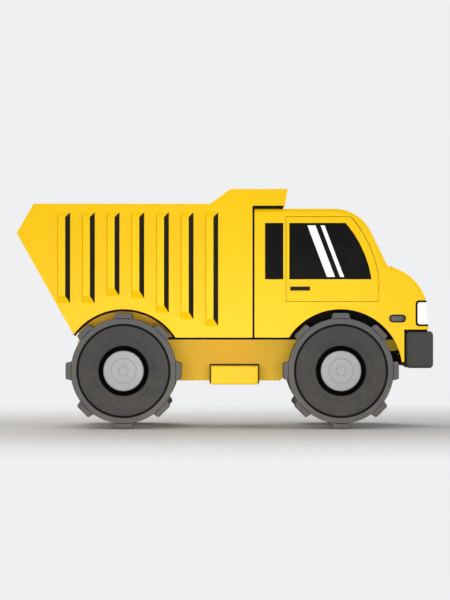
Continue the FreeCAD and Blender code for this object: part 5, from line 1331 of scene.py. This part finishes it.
class TRUCK_OT_dash_kit(bpy.types.Operator):
    """Instrument hood with two dials, air vents and a row of switches"""
    bl_idname = "truck.dash_kit"
    bl_label = "Dash kit"

    def dial(self, centre, radius):
        """A dial with a raised bezel, looking back at the driver."""
        ring = rod("bezel", centre, radius, 0.014, "X", 48)
        inset_faces(ring, lambda c, n: n.x < -0.9, (0.006, 0), (0.001, -0.008))
        give(ring, "Hub Metal", "Cab Plastic")
        paint_faces(ring, lambda f: (f.center - centre).yz.length < radius - 0.008 and f.normal.x < -0.9)
        marks = []
        mark_ring, half = radius - 0.017, Vector((0.0008, 0.006, 0.0014))
        for i in range(11):
            turn = radians(-40 + i * 26)
            at = centre + Vector((-0.001, cos(turn) * mark_ring, sin(turn) * mark_ring))
            marks.append(turned(block("mark", at - half, at + half), turn, "X", at))
        pivot, tip = Vector((-0.004, 0, -0.002)), Vector((-0.002, radius * 0.7, 0.002))
        hand = block("hand", centre + pivot, centre + tip)
        scale_faces(hand, lambda c, n: n.y > 0.9, (1, 1, 0.3), centre)
        marks.append(turned(hand, radians(130), "X", centre))
        for mark in marks:
            give(mark, "White Band")
        return joined([ring] + marks, "dial")

    def execute(self, context):
        wheel_low, wheel_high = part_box("steering_wheel")
        dash_low, dash_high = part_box("dashboard")
        middle = (wheel_low.y + wheel_high.y) / 2
        top, front = dash_high.z, dash_high.x
        rear = front - 0.180
        near, far = middle - 0.20, middle + 0.20
        hood = block("hood", (rear, near, top - 0.004), (front - 0.030, far, top + 0.125))
        scale_faces(hood, lambda c, n: n.z > 0.9, (0.86, 0.84, 1), (rear, middle, top))
        inset_faces(hood, lambda c, n: n.x < -0.9, (0.014, 0), (0.002, -0.016))
        round_edges(hood, 0.008, 3)
        give(hood, "Cab Plastic")
        pieces = [hood]
        for shift in (-0.082, 0.082):
            pieces.append(self.dial(Vector((rear + 0.012, middle + shift, top + 0.056)), 0.046))
        vents = []
        for y in (-1.05, -0.35, 0.18, 1.20):
            near, far = y - 0.110, y + 0.110
            vent = block("vent", (front - 0.115, near, top - 0.003), (front - 0.045, far, top + 0.006))
            inset_faces(vent, lambda c, n: n.z > 0.9, (0.008, 0), (0.001, -0.007))
            round_edges(vent, 0.002, 1)
            vents.append(vent)
            near, far = near + 0.006, far - 0.006
            for i in range(4):
                at = front - 0.101 + i * 0.014
                slat = block("slat", (at, near, top - 0.002), (at + 0.005, far, top + 0.004))
                round_edges(slat, 0.001, 1)
                vents.append(slat)
        slope = radians(24.5)
        key_count, key_pitch = 7, 0.062
        for i in range(key_count):
            foot = Vector((dash_low.x + 0.095, -0.27 + i * key_pitch, top - 0.032))
            key = block("key", foot - Vector((0.020, 0.021, 0.006)), foot + Vector((0.020, 0.021, 0.009)))
            shift_points(key, lambda p: p.z > foot.z and p.x < foot.x, (0, 0, -0.006))
            round_edges(key, 0.003, 2)
            vents.append(turned(key, slope, "Y", foot))
        for piece in vents:
            give(piece, "Cab Plastic")
        made = joined(pieces + vents, "dash_kit")
        smooth(made)
        ready(made, "chassis", "black_plastic")
        return {"FINISHED"}


class TRUCK_OT_wipers(bpy.types.Operator):
    """Two wipers parked along the foot of the windscreen"""
    bl_idname = "truck.wipers"
    bl_label = "Wipers"

    def execute(self, context):
        # Down along the windscreen's foot, and away from its glass.
        slope = Vector((0.254, 0, -0.522)).normalized()
        away = Vector((0.522, 0, 0.254)).normalized()
        tilt = -tip_angle(away)
        foot = Vector((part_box("cab_glass")[1].x, 0, 2.867)) - slope * 0.055
        reach = 0.92
        pieces = []
        for pivot in (-1.02, 0.14):
            base = foot + Vector((0, pivot, 0)) + away * 0.008
            boss = rod("boss", base, 0.026, 0.020, "X", 32)
            boss = turned(boss, tilt, "Y", base)
            round_edges(boss, 0.004, 2)
            blade_at = base - slope * 0.105 + Vector((0, reach * 0.55, 0))
            line = blade_at - base
            thin = Vector((0.004, 0, 0.009))
            arm = block("arm", base - thin, base + thin + Vector((0, line.length, 0)))
            arm = turned(arm, tilt, "Y", base)
            arm = lay(arm, base, Vector((0, 1, 0)), line)
            round_edges(arm, 0.002, 2)
            half = Vector((0.006, reach / 2, 0.011))
            blade = block("blade", blade_at - half, blade_at + half)
            scale_faces(blade, lambda c, n: abs(n.y) > 0.9, (0.6, 1, 0.6), blade_at)
            blade = turned(blade, tilt, "Y", blade_at)
            round_edges(blade, 0.002, 2)
            pieces += [boss, arm, blade]
        made = joined(pieces, "wipers")
        smooth(made)
        ready(made, "chassis", "black_plastic", "Cab Plastic")
        return {"FINISHED"}


class TRUCK_OT_tail_bezels(bpy.types.Operator):
    """Rubber bezels round the tail lamps"""
    bl_idname = "truck.tail_bezels"
    bl_label = "Tail bezels"

    def execute(self, context):
        piece = from_solid("tail_lamps", "tail_bezels")
        drop_faces(piece, lambda c, n: n.x > -0.9)
        keep_border(piece, 0.011)
        thicken(piece, 0.007)
        round_edges(piece, 0.0025, 2)
        smooth(piece)
        ready(piece, "chassis", "black_rubber", "Black Rubber")
        return {"FINISHED"}


class TRUCK_OT_spring_bolts(bpy.types.Operator):
    """U-bolts and plates that clamp the axles to their springs"""
    bl_idname = "truck.spring_bolts"
    bl_label = "Spring bolts"

    def hoop(self, x, y, top, foot, half):
        """One U-bolt: a bar bent twice, over the spring and down both its sides."""
        bar = 0.011
        pieces = [rod("over", (x, y, top + bar), bar, 2 * half + 2 * bar, "Y", 16)]
        for side in (-1, 1):
            away = y + side * (half + bar)
            leg = rod("leg", (x, away, (top + bar + foot) / 2), bar, top + bar - foot, "Z", 16)
            nut = rod("nut", (x, away, foot + 0.030), 0.020, 0.022, "Z", 6)
            round_edges(nut, 0.002, 1)
            pieces += [leg, nut]
        for piece in pieces:
            round_edges(piece, bar * 0.35, 2, 60)
        return pieces

    def clamp(self, x, y, top, foot, stand, half):
        """Two U-bolts that stand apart along the spring, with the plate below and the saddle on top."""
        pieces = []
        for end in (-1, 1):
            pieces += self.hoop(x + end * stand, y, top, foot, half)
        reach = stand + 0.034
        wide = half + 0.045
        plate = block("plate", (x - reach, y - wide, foot + 0.012), (x + reach, y + wide, foot + 0.030))
        round_edges(plate, 0.005, 2)
        saddle = block("saddle", (x - reach, y - half, top - 0.002), (x + reach, y + half, top + 0.012))
        round_edges(saddle, 0.004, 2)
        return pieces + [plate, saddle]

    def execute(self, context):
        front, rear = wheel_centre("front_right"), wheel_centre("rear_right")
        half = 0.050
        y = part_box("leaf_springs")[1].y - half
        foot = 0.822
        pieces = []
        for side in (-1, 1):
            pieces += self.clamp(rear.x, side * y, 1.212, foot, 0.154, half)
            pieces += self.clamp(front.x, side * y, 1.068, foot, 0.086, half)
        made = joined(pieces, "spring_bolts")
        smooth(made)
        ready(made, "chassis", "axle_steel", "Axle Iron")
        return {"FINISHED"}


class TRUCK_OT_frame_bolts(bpy.types.Operator):
    """Bolt heads on the frame rails, over the cross members, and on the rear beam"""
    bl_idname = "truck.frame_bolts"
    bl_label = "Frame bolts"

    def execute(self, context):
        proud = 0.005
        rail = 0.530 + proud
        half_pitch = 0.032
        # Pairs over the cross members, single bolts along the top flange, and bolts on the rear beam.
        members = ((-0.58, 0.84), (0.90, 0.84), (1.68, 1.27), (2.86, 1.27), (3.06, 1.27), (-2.40, 1.33))
        flange, flange_height = (-2.15, -1.95, -1.70, -1.45, 3.00, 2.75, 2.50, 2.25), 1.497
        beam = (
            (0.20, 1.24), (0.36, 1.22), (0.48, 1.22), (0.36, 1.46),
            (0.48, 1.46), (0.62, 1.24), (0.74, 1.24),
        )
        places = []
        for x, z in members:
            places += both_sides([(x - half_pitch, rail, z), (x + half_pitch, rail, z)])
        for x in flange:
            places += both_sides([(x, rail, flange_height)])
        sides = spread(bolt("side_bolt", 0.015, "Y"), places, "side_bolts")
        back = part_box("tail_lamps")[1].x
        places = both_sides([(back - proud, y, z) for y, z in beam])
        rear = spread(bolt("rear_bolt", 0.018, "X"), places, "rear_bolts")
        made = joined([sides, rear], "frame_bolts")
        smooth(made)
        ready(made, "chassis", "yellow_paint", "Yellow Paint")
        return {"FINISHED"}


class TRUCK_OT_bed_welds(bpy.types.Operator):
    """Weld beads along the seams of the bed's floor"""
    bl_idname = "truck.bed_welds"
    bl_label = "Bed welds"

    def execute(self, context):
        # The floor's tail end, the fold behind its chute, and its front end.
        line = [Vector((-3.557, 0, 3.424)), Vector((-0.588, 0, 1.634)), Vector((0.413, 0, 1.634))]
        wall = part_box("bed_floor")[1].y
        half, rounding = 0.012, 0.007
        beads = []
        for start, stop in zip(line, line[1:]):
            way = stop - start
            bead = block("bead", start - Vector((0, half, half)), start + Vector((way.length, half, half)))
            middle = start + Vector((way.length / 2, 0, 0))
            scale_faces(bead, lambda c, n: abs(n.x) > 0.9, (1, 0.6, 0.6), middle)
            round_edges(bead, rounding, 2)
            lay(bead, start, Vector((1, 0, 0)), way)
            beads.append(bead)
        reach = Vector((half, wall, half))
        across = block("bead", line[2] - reach, line[2] + reach)
        round_edges(across, rounding, 2)
        left = joined([moved(bead, (0, wall, 0)) for bead in beads], "bead_left")
        right = mirrored(left, "bead_right")
        made = joined([left, right, across], "bed_welds")
        smooth(made, 50)
        ready(made, "bed", "bed_steel", "Weld Bead")
        return {"FINISHED"}


class TRUCK_OT_floor_mats(bpy.types.Operator):
    """Ribbed rubber mats in both footwells"""
    bl_idname = "truck.floor_mats"
    bl_label = "Floor mats"

    def execute(self, context):
        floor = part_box("cab_floor")[1].z
        rear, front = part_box("seats")[1].x + 0.03, 2.68
        inner, outer = 0.42, 1.36
        rib_count, rib_pitch, rib_width = 18, 0.048, 0.016
        mat = block("mat", (rear, inner, floor - 0.001), (front, outer, floor + 0.010))
        inset_faces(mat, lambda c, n: n.z > 0.9, (0.022, 0), (0.004, -0.005))
        round_edges(mat, 0.002, 2)
        ribs = []
        for i in range(rib_count):
            y = inner + 0.052 + i * rib_pitch
            rib = block("rib", (rear + 0.04, y, floor), (front - 0.04, y + rib_width, floor + 0.009))
            round_edges(rib, 0.002, 1)
            ribs.append(rib)
        left = joined([mat] + ribs, "floor_mat_left")
        smooth(left)
        for made in (left, mirrored(left, "floor_mat_right")):
            ready(made, "chassis", "black_rubber", "Black Rubber")
        return {"FINISHED"}


class TRUCK_OT_steering(bpy.types.Operator):
    """Steering wheel with a round rim, three spokes and a padded middle"""
    bl_idname = "truck.steering"
    bl_label = "Steering wheel"

    def execute(self, context):
        low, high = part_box("steering_wheel")
        grip = 0.018
        reach = (high.y - low.y) / 2
        radius = reach - grip
        tilt = radians(50)
        middle = Vector((low.x + reach * sin(tilt), (low.y + high.y) / 2, high.z - reach * cos(tilt)))
        turn = (0, -tilt, 0)
        rest_all()
        bpy.ops.mesh.primitive_torus_add(
            location=middle, rotation=turn, major_radius=radius, minor_radius=grip,
            major_segments=64, minor_segments=16)
        ring = named("ring")
        away = Vector((-sin(tilt), 0, cos(tilt)))
        hub = rod("hub", middle, 0.062, 0.046, turn, 40)
        inset_faces(hub, lambda c, n: n.dot(away) > 0.9, (0.018, 0.008))
        round_edges(hub, 0.006, 3)
        pieces = [ring, hub]
        for angle in (90, 210, 330):
            out = radians(angle)
            flat = Vector((cos(out) * cos(tilt), sin(out), cos(out) * sin(tilt)))
            rest_all()
            bpy.ops.mesh.primitive_cube_add(
                size=1, location=middle + flat * radius / 2, scale=(radius, 0.034, 0.012))
            spoke = bpy.context.object
            spoke.rotation_mode = "QUATERNION"
            spoke.rotation_quaternion = matrix_of(flat, away.cross(flat), away).to_quaternion()
            named("spoke")
            round_edges(spoke, 0.004, 2)
            pieces.append(spoke)
        front = high.x - 0.03
        foot = Vector((front, middle.y, middle.z - (front - middle.x) * cos(tilt) / sin(tilt)))
        line = foot - middle
        column = rod("column", middle + line / 2, 0.028, line.length, turn, 32)
        scale_faces(column, lambda c, n: n.dot(away) > 0.9, (0.7, 0.7, 0.7), middle)
        pieces.append(column)
        made = joined(pieces, "steering_piece")
        smooth(made)
        ready(made, "chassis", "black_plastic", "Cab Plastic", replaces=["steering_wheel"])
        return {"FINISHED"}


class TRUCK_OT_seats(bpy.types.Operator):
    """Seats with padded cushions, sewn channels and a moulded base"""
    bl_idname = "truck.seats"
    bl_label = "Seats"

    def pad(self, name, low, high):
        """A cushion blown up from a slightly smaller block, so that its faces crown."""
        shrink = Vector((0.010, 0.010, 0.010))
        limit = 0.012
        last_step = 12
        piece = block(name, Vector(low) + shrink, Vector(high) - shrink)
        round_edges(piece, sizes().cushion_round, 3)
        activate(piece)
        bpy.ops.object.modifier_add(type="REMESH")
        grid = piece.modifiers[-1]
        grid.mode = "VOXEL"
        grid.voxel_size = 0.010
        bpy.ops.object.modifier_apply(modifier=grid.name)
        start = [v.co.copy() for v in piece.data.vertices]
        bpy.ops.object.modifier_add(type="CLOTH")
        cloth = piece.modifiers[-1]
        cloth.settings.use_pressure = True
        cloth.settings.uniform_pressure_force = 4
        cloth.settings.effector_weights.gravity = 0
        for step in range(1, last_step + 1):
            bpy.context.scene.frame_set(step)
        bpy.ops.object.modifier_apply(modifier=cloth.name)
        bpy.context.scene.frame_set(1)
        for point, before in zip(piece.data.vertices, start):
            way = point.co - before
            if way.length > limit:
                point.co = before + way.normalized() * limit
        activate(piece)
        bpy.ops.object.shade_smooth()
        return piece

    def sew(self, piece, seams):
        """Draws the cover in along sewn lines, each given by an axis and a place on it."""
        depth, reach = 0.009, 0.024
        pulls = []
        for point in piece.data.vertices:
            near = min(abs(point.co[axis] - place) for axis, place in seams)
            pulls.append(point.normal * depth * max(0.0, 1 - near / reach) ** 2)
        for point, pull in zip(piece.data.vertices, pulls):
            point.co -= pull

    def lean(self, piece, foot, height, back):
        """Leans a back rest: points move back in proportion to their height."""
        for point in piece.data.vertices:
            point.co.x -= back * (point.co.z - foot) / height

    def execute(self, context):
        low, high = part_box("seats")
        outer, inner = high.y, high.y - 0.56
        top = 2.620
        bottom = top - 0.150
        front = high.x - 0.010
        rear = front - 0.550
        cushion = self.pad("cushion_left", (rear, inner, bottom), (front, outer, top))
        spine, chest = low.x + 0.070, low.x + 0.205
        back = self.pad("backrest_left", (spine, inner, top + 0.004), (chest, outer, high.z))
        bolster = 0.110
        seams = [(1, inner + bolster), (1, outer - bolster)]
        self.sew(cushion, seams + [(0, rear + 0.190), (0, rear + 0.350)])
        self.sew(back, seams + [(2, high.z - 0.200)])
        self.lean(back, top, high.z - top, 0.065)
        inset = Vector((0.05, 0.07, 0))
        base_low, base_high = Vector((rear, inner, low.z)) + inset, Vector((front, outer, bottom)) - inset
        base = block("pedestal_left", base_low, base_high)
        middle = ((rear + front) / 2, (inner + outer) / 2, bottom)
        scale_faces(base, lambda c, n: n.z > 0.9, (0.86, 0.9, 1), middle)
        inset_faces(base, lambda c, n: abs(n.z) < 0.5, (0.03, -0.008), use_individual=True)
        round_edges(base, 0.006, 2)
        smooth(base)
        # Each piece with the solid it stands for, its slot, its finish and how full its padding is.
        for piece, hides, slot, finish, fill in (
                (cushion, ["seats"], "seat_cloth", "Seat Cloth", 0.8),
                (back, [], "seat_cloth", "Seat Cloth", 0.75),
                (base, [], "black_plastic", "Cab Plastic", None)):
            for made in (piece, mirrored(piece, piece.name.replace("left", "right"))):
                ready(made, "chassis", slot, finish, replaces=hides)
        return {"FINISHED"}


def look_at(thing, target):
    thing.rotation_euler = (Vector(target) - thing.location).to_track_quat("-Z", "Y").to_euler()


def area_lamp(name, place, target, size, power, tall=None):
    """One soft lamp, aimed at the truck: a disk, or a wide strip where it has its own height."""
    rest_all()
    bpy.ops.object.light_add(type="AREA", location=place)
    lamp = bpy.context.object
    lamp.name = name
    lamp.data.shape = "RECTANGLE" if tall else "DISK"
    lamp.data.size = size
    if tall:
        lamp.data.size_y = tall
        lamp.data.spread = radians(50)
    lamp.data.energy = power
    look_at(lamp, target)


class TRUCK_OT_stage(bpy.types.Operator):
    """Pale floor that fades out, soft lamps, a white backdrop and the camera"""
    bl_idname = "truck.stage"
    bl_label = "Stage"

    def floor(self):
        """A pale disk that turns clear towards its rim, and so runs into the backdrop."""
        radius, fade_start, fade_end = 16, 5.0, 13.0
        rest_all()
        bpy.ops.mesh.primitive_circle_add(vertices=128, radius=radius, fill_type="NGON")
        piece = named("studio_floor")
        material = bpy.data.materials.new("Studio Floor")
        material.use_nodes = True
        tree = material.node_tree
        tree.nodes.clear()
        graph = Graph(tree)
        shader = graph.add("ShaderNodeBsdfPrincipled", Roughness=0.85)
        patches = graph.noise(graph.place(), 0.6, 2.0)
        graph.feed(shader, "Base Color", graph.mix(patches, (0.60, 0.60, 0.60), (0.63, 0.63, 0.63)))
        clear = tree.nodes.new("ShaderNodeBsdfTransparent")
        away = graph.add("ShaderNodeVectorMath", {"operation": "LENGTH"})
        tree.links.new(graph.place(), away.inputs[0])
        fade = graph.span(away.outputs["Value"], fade_start, fade_end)
        self.blend(graph, fade, shader, clear, "ShaderNodeOutputMaterial")
        piece.data.materials.append(material)

    def blend(self, graph, share, first, second, output):
        """Mixes two shaders and links them to a new output node."""
        mixed = graph.tree.nodes.new("ShaderNodeMixShader")
        for index, value in enumerate((share, first.outputs[0], second.outputs[0])):
            graph.tree.links.new(value, mixed.inputs[index])
        out = graph.tree.nodes.new(output)
        graph.tree.links.new(mixed.outputs[0], out.inputs[0])

    def world(self):
        """Soft light from all round, and a plain backdrop for the camera and for gloss and glass."""
        world = bpy.data.worlds.new("Studio")
        bpy.context.scene.world = world
        world.use_nodes = True
        tree = world.node_tree
        tree.nodes.clear()
        graph = Graph(tree)
        path = tree.nodes.new("ShaderNodeLightPath")
        seen = graph.math("ADD", path.outputs["Is Camera Ray"], path.outputs["Is Glossy Ray"])
        seen = graph.math("ADD", seen, path.outputs["Is Transmission Ray"], clamp=True)
        shown = graph.add("ShaderNodeBackground", Color=(0.86, 0.87, 0.88), Strength=1.0)
        light = graph.add("ShaderNodeBackground", Color=(1, 1, 1), Strength=0.52)
        self.blend(graph, seen, light, shown, "ShaderNodeOutputWorld")

    def camera(self):
        """A long lens from the truck's right side, framed as the picture is."""
        metres_per_pixel = 0.0172
        rows, ground_row = 600, 429.1
        tall = rows * metres_per_pixel
        lens, film = 200, 36
        rest_all()
        bpy.ops.object.camera_add()
        camera = bpy.context.object
        camera.name = "picture_camera"
        camera.data.lens = lens
        camera.data.sensor_width = film
        distance = tall * lens / film
        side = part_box("bed_sides")[0].y
        height = (ground_row - rows / 2) * metres_per_pixel
        camera.location = (0, side - distance, height)
        camera.rotation_euler = (pi / 2, 0, 0)
        camera.data.clip_end = 200
        bpy.context.scene.camera = camera

    def execute(self, context):
        self.camera()
        self.floor()
        self.world()
        aim = (0, 0, 1.9)
        area_lamp("key_lamp", (-7, -15, 11), aim, 9, 620)
        area_lamp("low_lamp", (-0.3, -14, 1.3), (-0.3, 0, 1.0), 8, 85, 1.4)
        area_lamp("fill_lamp", (14, -7, 6), aim, 7, 500)
        area_lamp("back_lamp", (-3, 15, 10), aim, 9, 1100)
        context.scene.view_settings.view_transform = "Standard"
        return {"FINISHED"}


PIECES = (
    TRUCK_OT_finishes, TRUCK_OT_tyres, TRUCK_OT_rims, TRUCK_OT_rib_flank_shade, TRUCK_OT_arch_edging,
    TRUCK_OT_bumper, TRUCK_OT_splash_plates, TRUCK_OT_hoist, TRUCK_OT_window_seals,
    TRUCK_OT_window_highlights, TRUCK_OT_handles, TRUCK_OT_door_strips, TRUCK_OT_door_cards, TRUCK_OT_dash_kit,
    TRUCK_OT_wipers, TRUCK_OT_tail_bezels, TRUCK_OT_spring_bolts, TRUCK_OT_frame_bolts, TRUCK_OT_bed_welds,
    TRUCK_OT_floor_mats, TRUCK_OT_steering, TRUCK_OT_seats, TRUCK_OT_stage,
)


class TRUCK_PT_panel(bpy.types.Panel):
    """Lists the truck's pieces, sizes and colours"""
    bl_idname = "TRUCK_PT_panel"
    bl_label = "Dump truck"
    bl_space_type = "VIEW_3D"
    bl_region_type = "UI"
    bl_category = "Truck"

    def draw(self, context):
        for piece in PIECES:
            self.layout.operator(piece.bl_idname)
        for group in (context.scene.truck_sizes, context.scene.truck_colours):
            box = self.layout.box()
            for name in group.__annotations__:
                box.prop(group, name)


CLASSES = (TruckColours, TruckSizes, *PIECES, TRUCK_PT_panel)


def register():
    for cls in CLASSES:
        bpy.utils.register_class(cls)
    bpy.types.Scene.truck_colours = PointerProperty(type=TruckColours)
    bpy.types.Scene.truck_sizes = PointerProperty(type=TruckSizes)


def unregister():
    del bpy.types.Scene.truck_sizes
    del bpy.types.Scene.truck_colours
    for cls in reversed(CLASSES):
        bpy.utils.unregister_class(cls)


def main():
    register()
    for piece in PIECES:
        group, name = piece.bl_idname.split(".")
        getattr(getattr(bpy.ops, group), name)()


if __name__ == "__main__":
    main()
